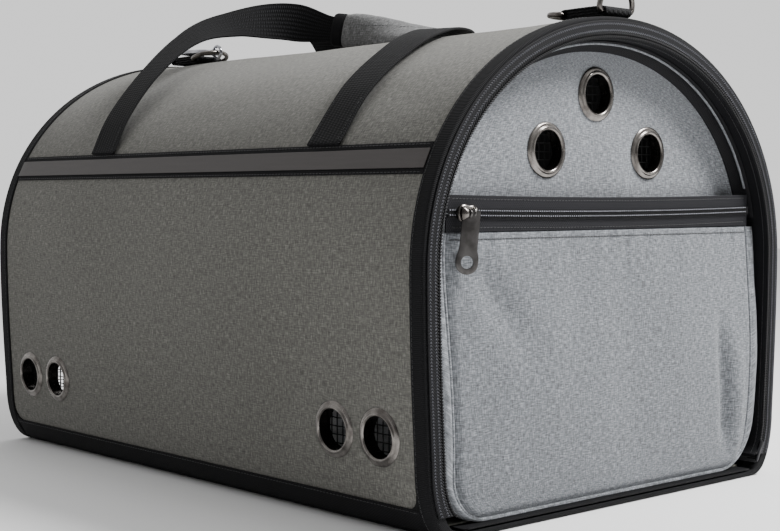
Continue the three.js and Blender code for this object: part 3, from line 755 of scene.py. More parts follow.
def corner_fillet(build, side, start, way, radius=9.0):
    """Rounds the inner corner between the bottom tape and the rim's tape."""
    rows = []
    for k in range(11):
        angle = k / 10 * math.pi / 2
        y = start + way * radius * (1 - math.sin(angle))
        z = 16.8 + radius * (1 - math.cos(angle))
        row = []
        for share, depth in ((0, 0.25), (1, 0.25), (1, 1.3), (0, 1.3)):
            here_y, here_z = start + (y - start) * share, 16.8 + (z - 16.8) * share
            row.append(Vector((side * outline_x(here_z, depth), here_y, here_z)))
        rows.append(row)
    lattice(build, rows, wrap=True, caps=True)


for word, side in (("left", -1), ("right", 1)):
    build = Build()
    side_strip(build, side, 3.6, 17, 0, 1.2)
    y_line = [(side * outline_x(15.2, -0.02), y, 15.2) for y in (BETWEEN[0] + 2, BETWEEN[1] - 2)]
    stitches(build, y_line, look=1)
    for start, way in ((BETWEEN[0], 1), (BETWEEN[1], -1)):
        corner_fillet(build, side, start, way)
    sewn(build, f"{word}_bottom_band", [EDGE_TAPE, THREAD], "shell", f"{word}_bottom_binding")

    build = Build()
    side_strip(build, side, RIBBON[0], RIBBON[1], 0.2, 1.2)
    for z in (RIBBON[0] + 1.2, RIBBON[1] - 1.2):
        line = [(side * outline_x(z, 0.16), y, z) for y in (BETWEEN[0] + 2, BETWEEN[1] - 2)]
        stitches(build, line, look=1)
    sewn(build, f"{word}_ribbon_band", [BINDING_TAPE, THREAD], "shell", f"{word}_ribbon")

    build = Build()
    side_strip(build, side, REFLECTOR[0], REFLECTOR[1], -0.5, -0.1)
    sewn(build, f"{word}_reflective_band", [REFLECTIVE], "shell", f"{word}_reflective_tape")


# ---- eyelets ---------------------------------------------------------------------
def eyelet_profile(wall):
    """(radius, height above the cloth): barrel, rolled lip, flange and the washer behind."""
    lip = [(12.0, -wall - 0.8), (12.0, 0.9), (12.05, 1.5), (12.3, 2.0), (12.8, 2.32), (13.3, 2.4),
           (13.8, 2.28), (14.15, 1.95), (14.4, 1.6), (14.8, 1.5), (15.5, 1.38), (16.2, 1.1),
           (16.7, 0.75), (16.98, 0.4), (16.8, 0.16), (13.1, 0.16)]
    back = [(13.0, -wall - 0.2), (15.4, -wall - 0.2), (15.6, -wall - 0.45), (15.4, -wall - 0.85),
            (12.3, -wall - 0.9)]
    return lip + back


def eyelet(name, node, body, centre, outward, wall):
    outward = Vector(outward).normalized()
    first = outward.cross(Vector((0, 0, 1))).normalized()
    second = outward.cross(first)
    rows = [[Vector(centre) + reach * r + outward * h for r, h in eyelet_profile(wall)]
            for reach in hoop(Vector(), first, second, 1, 72)]
    made = lattice(Build(), rows, wrap_rows=True, wrap=True).object(name, [NICKEL], sharp=50)
    return piece(made, body, [node])


for word, side in (("left", -1), ("right", 1)):
    for end, sign in (("front", -1), ("rear", 1)):
        for index, y in enumerate(SIDE_GROMMET_Y):
            centre = (side * (outline_x(SIDE_GROMMET_Z) - COVER_DEPTH + 0.25), sign * y, SIDE_GROMMET_Z)
            eyelet(f"{word}_{end}_eyelet_{index + 1}", f"{word}_{end}_grommet_{index + 1}", "shell",
                   centre, (side, 0, -SIDE_LEAN), 6.1)
for index, (x, z) in enumerate(DOOR_GROMMETS):
    eyelet(f"door_eyelet_{index + 1}", f"door_grommet_{index + 1}", "door",
           (x, DOOR_FACE_Y, z), (0, -1, 0), 5.4)


# ---- nets -----------------------------------------------------------------------
def net(name, node, body, place, inside, size, pitch=4.9, yarn=1.1):
    """Square knotted net over a flat region; place turns (a, b) into a point."""
    (a0, a1), (b0, b1) = size
    count_a, count_b = int((a1 - a0) / pitch), int((b1 - b0) / pitch)
    points, faces, index = [], [], {}

    def corner(i, j):
        if (i, j) not in index:
            a = a0 + (a1 - a0) * i / count_a
            b = b0 + (b1 - b0) * j / count_b
            sway = 0.35 * noise.noise(Vector((a * 0.2, b * 0.2, 3)))
            index[(i, j)] = len(points)
            points.append(Vector(place(a + sway, b - sway)))
        return index[(i, j)]
    for i in range(count_a):
        for j in range(count_b):
            a, b = a0 + (i + 0.5) * (a1 - a0) / count_a, b0 + (j + 0.5) * (b1 - b0) / count_b
            if inside(a, b):
                faces.append((corner(i, j), corner(i + 1, j), corner(i + 1, j + 1), corner(i, j + 1)))
    made = Build().add(points, faces).object(name, [NET])
    wires = made.modifiers.new("yarns", "WIREFRAME")
    wires.thickness = yarn * MM
    wires.use_even_offset = False
    wires.use_boundary = True
    for polygon in made.data.polygons:
        polygon.use_smooth = False
    return piece(made, body, [node])


for word, side in (("left", -1), ("right", 1)):
    for end, sign in (("front", -1), ("rear", 1)):
        plane = side * (outline_x(SIDE_GROMMET_Z) - 7.6 - 2.8)
        middle = sign * sum(SIDE_GROMMET_Y) / 2
        net(f"{word}_{end}_net", f"{word}_{end}_vent_net", "shell", lambda a, b, x=plane: (x, a, b),
            lambda a, b: True, ((middle - 43, middle + 43), (SIDE_GROMMET_Z - 25, SIDE_GROMMET_Z + 25)))


def in_outline(depth):
    def test(a, b):
        return depth + 4 < b < HEIGHT - depth - 2 and abs(a) < outline_x(b, depth) - 3
    return test


net("rear_net", "rear_window_net", "shell", lambda a, b: (a, REAR_Y - 8.8, b), in_outline(26),
    ((-143, 143), (26, 276)), 6.0, 1.0)


def in_door_net(a, b):
    return 198 < b < 274 and abs(a) < (72 if b < 236 else 72 - (b - 236) * 1.2)


net("door_net", "door_vent_net", "door", lambda a, b: (a, DOOR_FACE_Y + 7.2, b), in_door_net,
    ((-72, 72), (197, 275)))


# ---- rear end -------------------------------------------------------------------
def frame_panel(depths, y, swell):
    """Flat cloth ring between two depths, slightly swollen."""
    rows = []
    lines = [closed_line(depth) for depth in depths]
    for i in range(len(lines[0])):
        row = []
        for line, depth in zip(lines, depths):
            x, z = line[i]
            share = (depth - depths[0]) / (depths[-1] - depths[0])
            lift = swell * math.sin(math.pi * share)
            row.append(Vector((x, y + lift, z)))
        rows.append(row)
    return lattice(Build(), rows, wrap_rows=True)


rear_cloth = frame_panel([9.2 + i * (33.0 - 9.2) / 10 for i in range(11)], REAR_Y - 6.2, 1.1)
rear_cloth = thicken(rear_cloth.object("rear_cloth", [SIDE_CLOTH_PAINTED_SHADE]), 1.4, 0)
piece(rear_cloth, "shell", ["rear_panel"])

build = Build()
outline_band(build, pill(29, 35, REAR_Y - 5.1, REAR_Y - 3.3, 0.55), closed_line, True)
for depth in (30.4, 33.6):
    stitches(build, stitch_line(depth, REAR_Y - 3.28), closed=True, look=1)
sewn(build, "rear_window_tape", [BINDING_TAPE, THREAD], "shell", "rear_window_binding")


# ---- door zip ---------------------------------------------------------------------
ZIP_FOOT = 13.8
TOOTH_PITCH, TOOTH_LENGTH, TOOTH_RADIUS = 1.75, 0.9, 0.62


def rim_line(depth):
    return arch_line(depth, ZIP_FOOT)


def zip_side(tooth_depth, slant, shift):
    """Teeth along the arch at a depth, each a short rod set across the closing line."""
    build = Build()
    line = [(x, FRONT_Y + 0.85, z) for x, z in rim_line(tooth_depth)]
    for place, along in resample(line, TOOTH_PITCH):
        centre = Vector((0, place.y, min(place.z, WIDEST_Z)))
        reach = (centre - place).normalized() * TOOTH_LENGTH / 2 + along * slant / 2
        middle = place + along * shift
        capsule(build, middle - reach, middle + reach, TOOTH_RADIUS, 6, up=(0, -1, 0))
    return build


def chevrons(build, depth, y, look, low=ZIP_FOOT + 0.4):
    """A row of lock stitches in small Vs along the arch, coloured light as a painted glint of the zip's teeth."""
    for turn in (-1, 1):
        line = [(x, y, z) for x, z in arch_line(depth + 0.32 * turn, low)]
        for place, along in resample(line, 1.8):
            across = along.cross(Vector((0, 1, 0)))
            reach = along * 0.4 + across * 0.26 * turn
            capsule(build, place - reach, place + reach, 0.2, 5, look)


build = zip_side(10.35, 0.8, 0.0)
outline_band(build, pill(2.6, 9.6, FRONT_Y + 0.25, FRONT_Y + 1.15, 0.4), rim_line, False, look=1)
outline_band(build, pill(9.4, 11.1, FRONT_Y + 1.3, FRONT_Y + 2.3, 0.4), rim_line, False, look=1)
# Two rows of light lock stitches: their light colour is a painted glint along the rim zip.
for depth in (4.6, 8.6):
    chevrons(build, depth, FRONT_Y + 0.16, 2)
sewn(build, "rim_zip", [TEETH, RIM_TAPE, RIM_THREAD_PAINTED_GLINTS], "shell", "rim_zip_tape")

build = zip_side(12.45, -0.8, 0.87)
wall = [(11.8, FRONT_Y + 1.4), (12.9, FRONT_Y + 1.35), (13.5, FRONT_Y + 1.9), (13.6, DOOR_FACE_Y - 9),
        (13.6, DOOR_FACE_Y + 1.4), (12.7, DOOR_FACE_Y + 1.4), (12.7, FRONT_Y + 2.4),
        (11.8, FRONT_Y + 2.3)]
outline_band(build, wall, rim_line, False, look=1)
stitches(build, stitch_line(13.68, FRONT_Y + 4.2, ZIP_FOOT + 1, False), 2.8, 1.8, 0.22, look=2)
sewn(build, "door_zip", [TEETH, RIM_TAPE, THREAD], "door", "door_zip_tape")


# ---- door -----------------------------------------------------------------------
def door_plate(y, depth, hole, swell, low=14.0):
    """Flat cloth or board filling the arched opening, with the eyelet holes."""
    half = half_line(depth, corner=10, side=34, arch=70)
    kept = [half[0]]
    for point in half[1:]:
        if math.hypot(point[0] - kept[-1][0], point[1] - kept[-1][1]) > 3.0 or point is half[-1]:
            kept.append(point)
    half = [p for p in kept if p[1] > low - 0.1]
    columns = 76
    rows, holes = [], set()
    for i, (width, height) in enumerate(half):
        row = []
        for j in range(columns + 1):
            x, z = width * (-1 + 2 * j / columns), height
            for centre in DOOR_GROMMETS:
                (x, z), cut = round_hole((x, z), centre, hole, 4.2)
                if cut:
                    holes.add((i, j))
            row.append(Vector((x, y - swell(x, z), z)))
        rows.append(row)
    return lattice(Build(), rows, skip=touching(holes))


def door_swell(x, z):
    """The door's cloth lies a little loose between its edge and the eyelets."""
    edge = smooth(outline_x(z, DOOR_EDGE) - abs(x), 2, 30) * smooth(HEIGHT - DOOR_EDGE - z, 2, 25)
    eyelet = min(smooth(math.hypot(x - a, z - b), 17, 34) for a, b in DOOR_GROMMETS)
    ripple = noise.noise(Vector((x * 0.022, 1, z * 0.02))) + 0.35
    return edge * eyelet * max(0, ripple) * 1.1


door_cloth = door_plate(DOOR_FACE_Y + 0.5, DOOR_EDGE, HOLE, door_swell)
door_cloth = door_cloth.object("door_cloth", [DOOR_CLOTH])
piece(thicken(door_cloth, CLOTH_THICK, 0), "door", ["door_cover"])
door_back = door_plate(DOOR_FACE_Y + 3.4, DOOR_EDGE + 0.1, 14.2, lambda x, z: 0.0)
door_back = thicken(door_back.object("door_lining_board", [LINING_CLOTH]), 3.9, 0)
piece(door_back, "door", ["door_board"])


def recess():
    """Black band over the recess above the pocket: partly the zip's tape wall, partly a dark sheet laid over the door
    cloth's margin as painted shade, with a thin light piping along its lip.
    """
    build = Build()
    wall = [(13.9, DOOR_FACE_Y - 0.3), (13.9, -229.0), (14.3, -229.5), (14.9, -229.0), (15.1, -226.0),
            (16.2, -221.2), (19.6, DOOR_FACE_Y - 0.9), (20.0, DOOR_FACE_Y - 0.3)]
    outline_band(build, wall, lambda d: crown_line(d, 176), False)
    piping = [(p.x, p.y) for p in hoop(Vector((15.6, -226.6)), Vector((1, 0)), Vector((0, 1)), 0.75, 8)]
    outline_band(build, piping, lambda d: crown_line(d, 196), False, look=1)
    return build.object("door_recess", [RIM_TAPE, DOOR_CLOTH])


# The recess band's black stands in as painted shade on the door cloth's margin.
piece(recess(), "door")


def hinge_band():
    """Black cloth joining the base to the door, folding along the lower front edge."""
    profile = pill(HINGE_Y + 0.1, DOOR_FACE_Y + 1.5, 4.2, 5.2, 0.45)
    rows = []
    for i in range(47):
        x = -138 + 276 * i / 46
        rows.append([Vector((x, y, z)) for y, z in profile])
    build = lattice(Build(), rows, wrap=True, caps=True)
    return flat_normals(build.object("door_hinge_band", [EDGE_TAPE]))


piece(hinge_band(), "door", ["door_hinge_strip"])


# ---- pocket ---------------------------------------------------------------------
def pocket_half(depth, steps=10):
    """Right half of the pocket's edge from the middle of its bottom up to its top.

    A negative depth runs outside the edge, closer to it under the bottom than at the sides.
    """
    inset, radius = POCKET_INSET + depth, POCKET_CORNER - depth
    low = POCKET_BOTTOM + (depth if depth > 0 else depth * 0.16)
    centre = outline_x(low + radius, inset) - radius
    points = [(centre * i / 26, low) for i in range(26)]
    for i in range(steps + 1):
        angle = i / steps * math.pi / 2
        points.append((centre + radius * math.sin(angle), low + radius * (1 - math.cos(angle))))
    rise = [low + radius + (POCKET_TOP - low - radius) * i / 28 for i in range(1, 29)]
    return points + [(outline_x(z, inset), z) for z in rise]


def pocket_front_y(z):
    """The pocket hangs from the zip and stands out further towards its bottom."""
    return (ZIP_Y - 0.6 - POCKET_LEAN * smooth(POCKET_TOP - z, 0, 95)
            + POCKET_TUCK * (1 - smooth(z, POCKET_BOTTOM, 62)))


def pocket_outline_half_width(z):
    half = pocket_half(0)
    last = half[26]
    for point in half[26:]:
        if point[1] >= z:
            span = point[1] - last[1]
            return last[0] + (point[0] - last[0]) * ((z - last[1]) / span if span > 1e-6 else 0)
        last = point
    return half[-1][0]


def pocket_relief(x, z, width):
    """Puckers and folds of the loose cloth, as a height towards the viewer."""
    edge = min(smooth(width - abs(x), 0, 26), smooth(z - POCKET_BOTTOM, 0, 24))
    top = smooth(POCKET_TOP - z, 0, 14)
    broad = noise.noise(Vector((x * 0.011 + 2.3, 5, z * 0.011))) * 2.4
    folds = noise.noise(Vector((x * 0.034, 9, z * 0.016))) * 0.9
    dent = -4.2 * math.exp(-(((x + 104) * 0.75 + (z - 128) * 0.66) / 12) ** 2
                           - (((x + 104) * 0.66 - (z - 128) * 0.75) / 34) ** 2)
    away = x - 112 + 0.1 * (z - 60)
    crease = -4.2 * math.exp(-(away / 5.5) ** 2) * smooth(z, 14, 40) * (1 - smooth(z, 80, 125))
    swell = 2.6 * math.exp(-((away - 14) / 9) ** 2) * (1 - smooth(z, 70, 120))
    puckers = 0.75 * math.sin(z * 0.5 + 1.7 * math.sin(z * 0.11)) * math.exp(-(width - abs(x)) / 8)
    gathers = 0.5 * math.sin(x * 0.3 + 2 * math.sin(x * 0.05)) * math.exp(-(POCKET_TOP - z) / 14)
    return (edge * top * (1.0 + broad + folds) + min(1, edge * 2) * (dent + crease + swell)
            + (puckers + gathers) * min(1, edge * 4))


def pocket_surface_y(x, z):
    width = pocket_outline_half_width(z)
    tuck = POCKET_TUCK * (1 - smooth(width - abs(x), 0, 5)) + 2.0 * (1 - smooth(z - POCKET_BOTTOM, 0, 5))
    return pocket_front_y(z) - pocket_relief(x, z, width) + tuck


def pocket_panel():
    levels = []
    z = POCKET_BOTTOM + 0.35
    while z < POCKET_TOP - 0.5:
        levels.append(z)
        z += 0.8 if z < POCKET_BOTTOM + 4 else (1.6 if z < 40 else 2.4)
    levels.append(POCKET_TOP)
    columns = 130
    rows = []
    for z in levels:
        width = pocket_outline_half_width(z)
        row = []
        for j in range(columns + 1):
            x = width * (-1 + 2 * j / columns)
            row.append(Vector((x, pocket_surface_y(x, z), z)))
        rows.append(row)
    return lattice(Build(), rows)


# The pocket front is in the darker cloth that paints its shade.
panel = thicken(pocket_panel().object("pocket_panel", [POCKET_CLOTH_PAINTED_SHADE]), 0.8, 0)
piece(panel, "door", ["pocket_front"])


def pocket_edge(depth, lift=0.0):
    half = pocket_half(depth)
    full = [(-x, z) for x, z in reversed(half)] + half[1:]
    return [(x, pocket_front_y(z) + lift, z) for x, z in full]


def pocket_border():
    """Soft light border between the pocket's seam and the zip, rolled over at its outer edge."""
    build = Build()
    rolls = [(0.0, 2.8), (-0.06, 2.2), (0.06, 1.2), (0.18, 0.4), (0.36, 0.0), (0.56, 0.3), (0.76, 1.2),
             (0.9, 2.6), (0.98, 4.6), (1.0, 8.0)]
    lines = [pocket_edge(-POCKET_BORDER * share) for share, _ in rolls]
    rows = []
    for i in range(len(lines[0])):
        row = []
        for line, (share, back) in zip(lines, rolls):
            x, y, z = line[i]
            ripple = 0.35 * noise.noise(Vector((z * 0.05, x * 0.03, 6)))
            row.append(Vector((x, min(y + 0.9 + back + ripple, DOOR_FACE_Y - 0.5), z)))
        rows.append(row)
    lattice(build, rows)
    made = thicken(build.object("pocket_border", [DOOR_CLOTH]), 0.8, 0)
    return piece(made, "door", ["door_piping"])


border = pocket_border()


def tube(build, points, radius, sides=10, closed=False, look=0, caps=True):
    """Round cord through the points."""
    points = [Vector(p) for p in points]
    rows = []
    first = None
    for i, point in enumerate(points):
        before = points[(i - 1) % len(points)] if closed or i else point
        after = points[(i + 1) % len(points)] if closed or i < len(points) - 1 else point
        along = (after - before).normalized()
        if first is None:
            first = along.cross(Vector((0, 1, 0.01))).normalized()
        first = (first - along * first.dot(along)).normalized()
        second = along.cross(first)
        rows.append(hoop(point, first, second, radius, sides))
    lattice(build, rows, wrap_rows=closed, wrap=True, caps=caps and not closed, look=look)


def pocket_seams():
    """Gusset behind the pocket's edge, its piping and the stitch lines."""
    build = Build()
    rim = pocket_edge(0.3, 2.4)
    rows = []
    for x, y, z in rim:
        rows.append([Vector((x, y + (DOOR_FACE_Y - 0.6 - y) * k / 5, z)) for k in range(6)])
    lattice(build, rows)
    tube(build, pocket_edge(-0.2, 1.9), 0.95)
    made = build.object("pocket_gusset", [DOOR_CLOTH])
    piece(thicken(made, 0.5, 0), "door", ["pocket_front"])
    build = Build()
    hem = POCKET_TOP - 3.6
    width = outline_x(hem, POCKET_INSET) - 3
    places = [width * (-1 + i / 60) for i in range(121)]
    line = [(x, pocket_surface_y(x, hem) - 0.42, hem) for x in places]
    stitches(build, line, 3.0, 2.5, 0.44)
    made = build.object("pocket_stitching", [DOOR_THREAD])
    piece(made, "door")


pocket_seams()


# ---- pocket zip ---------------------------------------------------------------------
def sag(x):
    """The pocket zip hangs a little in its middle."""
    return -1.6 * (1 - (x / ZIP_HALF) ** 2)


def zip_tape_half(name, node, low, high, edge_row):
    build = Build()
    profile = pill(low, high, ZIP_Y, ZIP_Y + CLOTH_THICK, 0.35)
    rows = []
    for i in range(97):
        x = -ZIP_HALF + 2 * ZIP_HALF * i / 96
        rows.append([Vector((x, y, z + sag(x) * (1 if z > ZIP_LOW + 1 else 0.2))) for z, y in profile])
    lattice(build, rows, wrap=True, caps=True)
    line = [(x, ZIP_Y - 0.05, edge_row + sag(x)) for x in range(-140, 141, 4)]
    stitches(build, line, 2.8, 1.8, 0.24, look=1)
    sewn(build, name, [ZIP_TAPE, THREAD], "door", node)


zip_tape_half("pocket_tape_lower", "pocket_zip_tape_lower", ZIP_LOW, ZIP_Z - 0.2, ZIP_LOW + 3.0)
zip_tape_half("pocket_tape_upper", "pocket_zip_tape_upper", ZIP_Z + 0.2, ZIP_HIGH, ZIP_HIGH - 2.2)


def pocket_coil():
    build = Build()
    for turn in (-1, 1):
        x = -ZIP_HALF + 0.8
        while x < ZIP_HALF - 0.8:
            centre = x + (0.45 if turn > 0 else 0)
            z = ZIP_Z + sag(centre)
            start = (centre - 0.35 * turn, ZIP_Y - 1, z + turn * 0.15)
            end = (centre + 0.35, ZIP_Y - 0.95, z + turn * 2.4)
            capsule(build, start, end, 0.42, 6)
            x += 1.15
    # Two rows of stitches in a light thread: their light colour is a painted glint along the coil.
    for z in (-0.8, 2.0):
        line = [(x, ZIP_Y - 1.45, ZIP_Z + sag(x) + z) for x in range(-143, 144, 4)]
        stitches(build, line, 1.9, 0.5, 0.34, look=1)
    made = build.object("pocket_coil", [TEETH, COIL_THREAD_PAINTED_GLINTS])
    return piece(made, "door", ["pocket_zip_coil"])


pocket_coil()


def slab(build, outline, y0, y1, radius=0.4, look=0):
    """Rounded plate: an outline in (x, z) made solid between two y, with softened edges."""
    count = len(outline)
    centre = Vector((sum(p[0] for p in outline) / count, 0, sum(p[1] for p in outline) / count))
    steps = [(y0, radius), (y0 + radius * 0.3, radius * 0.3), (y0 + radius, 0), (y1 - radius, 0),
             (y1 - radius * 0.3, radius * 0.3), (y1, radius)]
    rows = []
    for y, inset in steps:
        row = []
        for x, z in outline:
            away = Vector((x, 0, z)) - centre
            moved = centre + away * max(0, 1 - inset / max(away.length, 1e-6))
            row.append(Vector((moved.x, y, moved.z)))
        rows.append(row)
    lattice(build, rows, wrap=True, caps=True, look=look)


def pocket_slider():
    x0, z0 = SLIDER
    build = Build()
    shape = []
    for i in range(48):
        angle = i * math.tau / 48
        c, s = math.cos(angle), math.sin(angle)
        long = 7.4 * math.copysign(abs(c) ** 0.75, c)
        waist = 5.5 - 0.9 * math.exp(-((long - 1.5) / 2.4) ** 2)
        shape.append((x0 + long, z0 + waist * math.copysign(abs(s) ** 0.75, s)))
    slab(build, shape, ZIP_Y - 5.3, ZIP_Y - 2.4, 1.3)
    rows = []
    for i in range(33):
        angle = math.pi * i / 32
        centre = Vector((x0 - 5.0 * math.cos(angle), ZIP_Y - 4.6 - 3.0 * math.sin(angle) ** 0.6, z0))
        out = Vector((-math.cos(angle), -math.sin(angle), 0))
        girth = abs(math.cos(angle)) ** 1.3
        rows.append(hoop(centre, out * (1.1 + 0.6 * girth), Vector((0, 0, 1.1 + 2.9 * girth)), 1, 16))
    lattice(build, rows, wrap=True, caps=True)
    made = build.object("pocket_slider_body", [NICKEL], sharp=60)
    return piece(made, "pocket_slider", ["pocket_zip_slider"])


pocket_slider()


def ring_plate(build, outline, hole, y0, y1, look=0):
    """Plate with one hole, as rings of points from the hole out to the outline."""
    count = len(outline)
    soft = 0.35
    layers = [(hole, y0 + soft), (hole, y0 + soft * 0.3), (None, y0), (outline, y0 + soft),
              (outline, y1 - soft), (None, y1), (hole, y1 - soft * 0.3), (hole, y1 - soft)]
    rows = []
    for ring, y in layers:
        row = []
        for i in range(count):
            if ring is None:
                x = hole[i][0] * 0.25 + outline[i][0] * 0.75
                z = hole[i][1] * 0.25 + outline[i][1] * 0.75
            else:
                x, z = ring[i]
            row.append(Vector((x, y, z)))
        rows.append(row)
    lattice(build, rows, wrap_rows=True, wrap=True, look=look)


def pocket_puller():
    x0, z0 = SLIDER
    lean = 0.1
    build = Build()
    outline, hole = [], []
    broad, neck, bore = 6.4, 5.1, 3.6
    low, top = PULLER_LOW - z0, 1.9
    centre = low + 6.4
    count = 56
    for i in range(count):
        angle = -math.pi / 2 + (i + 0.5) * math.tau / count
        c, s = math.cos(angle), math.sin(angle)
        reach = broad
        if s > 0:
            for _ in range(8):
                width = broad - (broad - neck) * smooth(reach * s, 1, 9)
                reach = min(width / abs(c), (top - centre) / s)
        outline.append((reach * c, centre + reach * s - (0.5 if s <= 0 else 0)))
        hole.append((bore * c, centre + bore * s))
    turn = Matrix.Rotation(lean, 3, "Y")

    def placed(points):
        moved = [turn @ Vector((x, 0, z)) for x, z in points]
        return [(x0 + p.x, z0 + p.z) for p in moved]
    ring_plate(build, placed(outline), placed(hole), ZIP_Y - 8.7, ZIP_Y - 6.8)
    eye = hoop(Vector((x0, ZIP_Y - 7.4, z0)), Vector((0, 1, 0)), Vector((0, 0, 1)), 1.85, 24)
    pivot = Vector((x0, ZIP_Y - 7.7, z0))
    twist = Matrix.Rotation(math.radians(-32), 3, "Z")
    build.points = [pivot + twist @ (p - pivot) for p in build.points]
    for shift in (-1.6, 1.6):
        tube(build, [p + Vector((shift, 0, 0)) for p in eye], 0.75, 8, closed=True)
    made = build.object("pocket_puller_plate", [GUNMETAL], sharp=60)
    return piece(made, "pocket_puller", ["pocket_zip_puller"])


pocket_puller()


def door_slider():
    """The door zip's slider at the lower right corner."""
    build = Build()
    shape = [(a, b) for b, a in pill(-4.6, 4.6, -2.4, 2.4, 1.6, 5)]
    slab(build, shape, 0.05, 1.5, 0.4)
    slab(build, [(a * 0.75, b * 0.75) for a, b in shape], 1.4, 2.9, 0.2)
    tab = [(a * 0.62, b - 5.5) for b, a in pill(-5.5, 5.5, -2.4, 2.4, 2.0, 5)]
    slab(build, tab, -0.05, 0.75, 0.25)
    depth = 11.3
    lean = math.atan2(outline_x(22, depth) - outline_x(16, depth), 6)
    turn = Matrix.Rotation(lean, 3, "Y")
    origin = Vector((outline_x(19, depth), FRONT_Y, 19))
    build.points = [origin + turn @ p for p in build.points]
    made = build.object("door_slider_body", [BLACK_METAL], sharp=60)
    return piece(made, "shell", ["door_zip_slider"])


door_slider()


# ---- handles --------------------------------------------------------------------------
def curve(points, t):
    """Centripetal curve through the points."""
    last = len(points) - 1
    place = last * t
    i = min(int(place), last - 1)
    share = place - i
    p1, p2 = points[i], points[i + 1]
    p0 = points[i - 1] if i > 0 else points[0] * 2 - points[1]
    p3 = points[i + 2] if i + 2 <= last else points[last] * 2 - points[last - 1]
    d0, d1, d2 = ((b - a).length ** 0.5 for a, b in ((p0, p1), (p1, p2), (p2, p3)))
    d1 = d1 if d1 > 1e-4 else 1.0
    d0 = d0 if d0 > 1e-4 else d1
    d2 = d2 if d2 > 1e-4 else d1
    m1 = ((p1 - p0) / d0 - (p2 - p0) / (d0 + d1) + (p2 - p1) / d1) * d1
    m2 = ((p2 - p1) / d1 - (p3 - p1) / (d1 + d2) + (p3 - p2) / d2) * d1
    return (p1 + m1 * share + (p1 * -3 + p2 * 3 - m1 * 2 - m2) * share ** 2
            + (p1 * 2 - p2 * 2 + m1 + m2) * share ** 3)


def frame_at(points, ways, t):
    """Centre, across and up of a strap at t along its curve."""
    along = (curve(points, min(t + 1e-4, 1)) - curve(points, max(t - 1e-4, 0))).normalized()
    way = curve(ways, t)
    across = (way - along * way.dot(along)).normalized()
    return curve(points, t), across, across.cross(along)


def sweep(build, points, ways, section, start, end, steps):
    """Sweeps section(t), a list of (across, up), along the curve."""
    rows = []
    for i in range(steps + 1):
        t = start + (end - start) * i / steps
        centre, across, up = frame_at(points, ways, t)
        rows.append([centre + across * w + up * h for w, h in section(t)])
    lattice(build, rows, wrap=True, caps=True)


def vectors(*triples):
    return [Vector(t) for t in triples]


LEFT_POINTS = ([on_arch(-151, 116, 0.9)]
               + vectors((-139, 116, 247), (-110, 118, 281), (-70, 124, 310), (-25, 129, 325),
                         (12, 112, 329), (33, 80, 322), (40, 45, 317), (45, 8, 311), (44, -32, 306.5), (30, -60, 305),
                         (4, -84, 304.5))
               + [on_arch(-38, -110, 3.2), on_arch(-80, -127, 2.6), on_arch(-122, -133, 2),
                  on_arch(-151, -133, 0.9)])
LEFT_WAYS = vectors((0, 1, 0), (0, 1, 0), (0, 1, 0), (0.1, 0.9, 0.25), (0.15, 0.7, 0.65), (0, 0.2, 1),
                    (0.05, 0, 1), (0.25, 0, 0.95), (0.8, 0, 0.6), (0.97, 0, 0.1), (0.85, -0.5, 0),
                    (0.6, -0.8, 0), (0.3, -0.95, 0), (0.1, -1, 0), (0, -1, 0), (0, -1, 0))
RIGHT_POINTS = ([on_arch(151, 116, 0.9)]
                + vectors((141, 119, 247), (114, 128, 284), (84, 140, 309), (60, 138, 320), (58, 112, 321),
                          (67, 78, 314), (75, 38, 307), (80, -5, 302), (84, -45, 298), (94, -84, 292),
                          (113, -113, 277), (134, -128, 253))
                + [on_arch(151, -133, 0.9)])
RIGHT_WAYS = vectors((0, 1, 0), (0, 1, 0), (0, 1, 0), (-0.1, 0.9, 0.35), (-0.2, 0.6, 0.75), (-0.2, 0.15, 1),
                     (-0.35, 0, 0.9), (-0.6, 0, 0.8), (-0.75, 0, 0.65), (-0.75, -0.2, 0.6),
                     (-0.6, -0.6, 0.5), (-0.3, -0.9, 0.2), (0, -1, 0), (0, -1, 0))
GRIP_START, GRIP_END, CUFF = 0.43, 0.6, 0.022


def strap_section(width, thick):
    half = width / 2
    return pill(-half, half, -thick / 2, thick / 2, thick * 0.46, 3)


def left_section(t):
    beyond = max(GRIP_START - CUFF - t, t - GRIP_END - CUFF, 0)
    return strap_section(20 + 10 * smooth(beyond, 0, 0.06), 1.8)


def edge_stitches(build, points, ways, start, end, offset, lift, look):
    line = []
    for i in range(31):
        centre, across, up = frame_at(points, ways, start + (end - start) * i / 30)
        line.append(centre + across * offset + up * lift)
    stitches(build, line, 3.2, 2.1, 0.26, look=look)


def handle(name, points, ways, section, body, node):
    build = Build()
    sweep(build, points, ways, section, 0, 1, 260)
    for start, end in ((0.004, 0.05), (0.95, 0.996)):
        for offset in (-12.6, 12.6):
            for lift in (-0.95, 0.95):
                edge_stitches(build, points, ways, start, end, offset, lift, 1)
    sewn(build, name, [STRAP, THREAD], body, node)


handle("left_handle_strap", LEFT_POINTS, LEFT_WAYS, left_section, "left_handle", "left_handle_webbing")
handle("right_handle_strap", RIGHT_POINTS, RIGHT_WAYS, lambda t: strap_section(30, 1.8), "right_handle",
       "right_handle_webbing")


def grip_section(half_width, half_thick, power, sides=40):
    points = []
    for i in range(sides):
        angle = i * math.tau / sides
        c, s = math.cos(angle), math.sin(angle)
        points.append((half_width * math.copysign(abs(c) ** power, c),
                       half_thick * math.copysign(abs(s) ** power, s)))
    return points


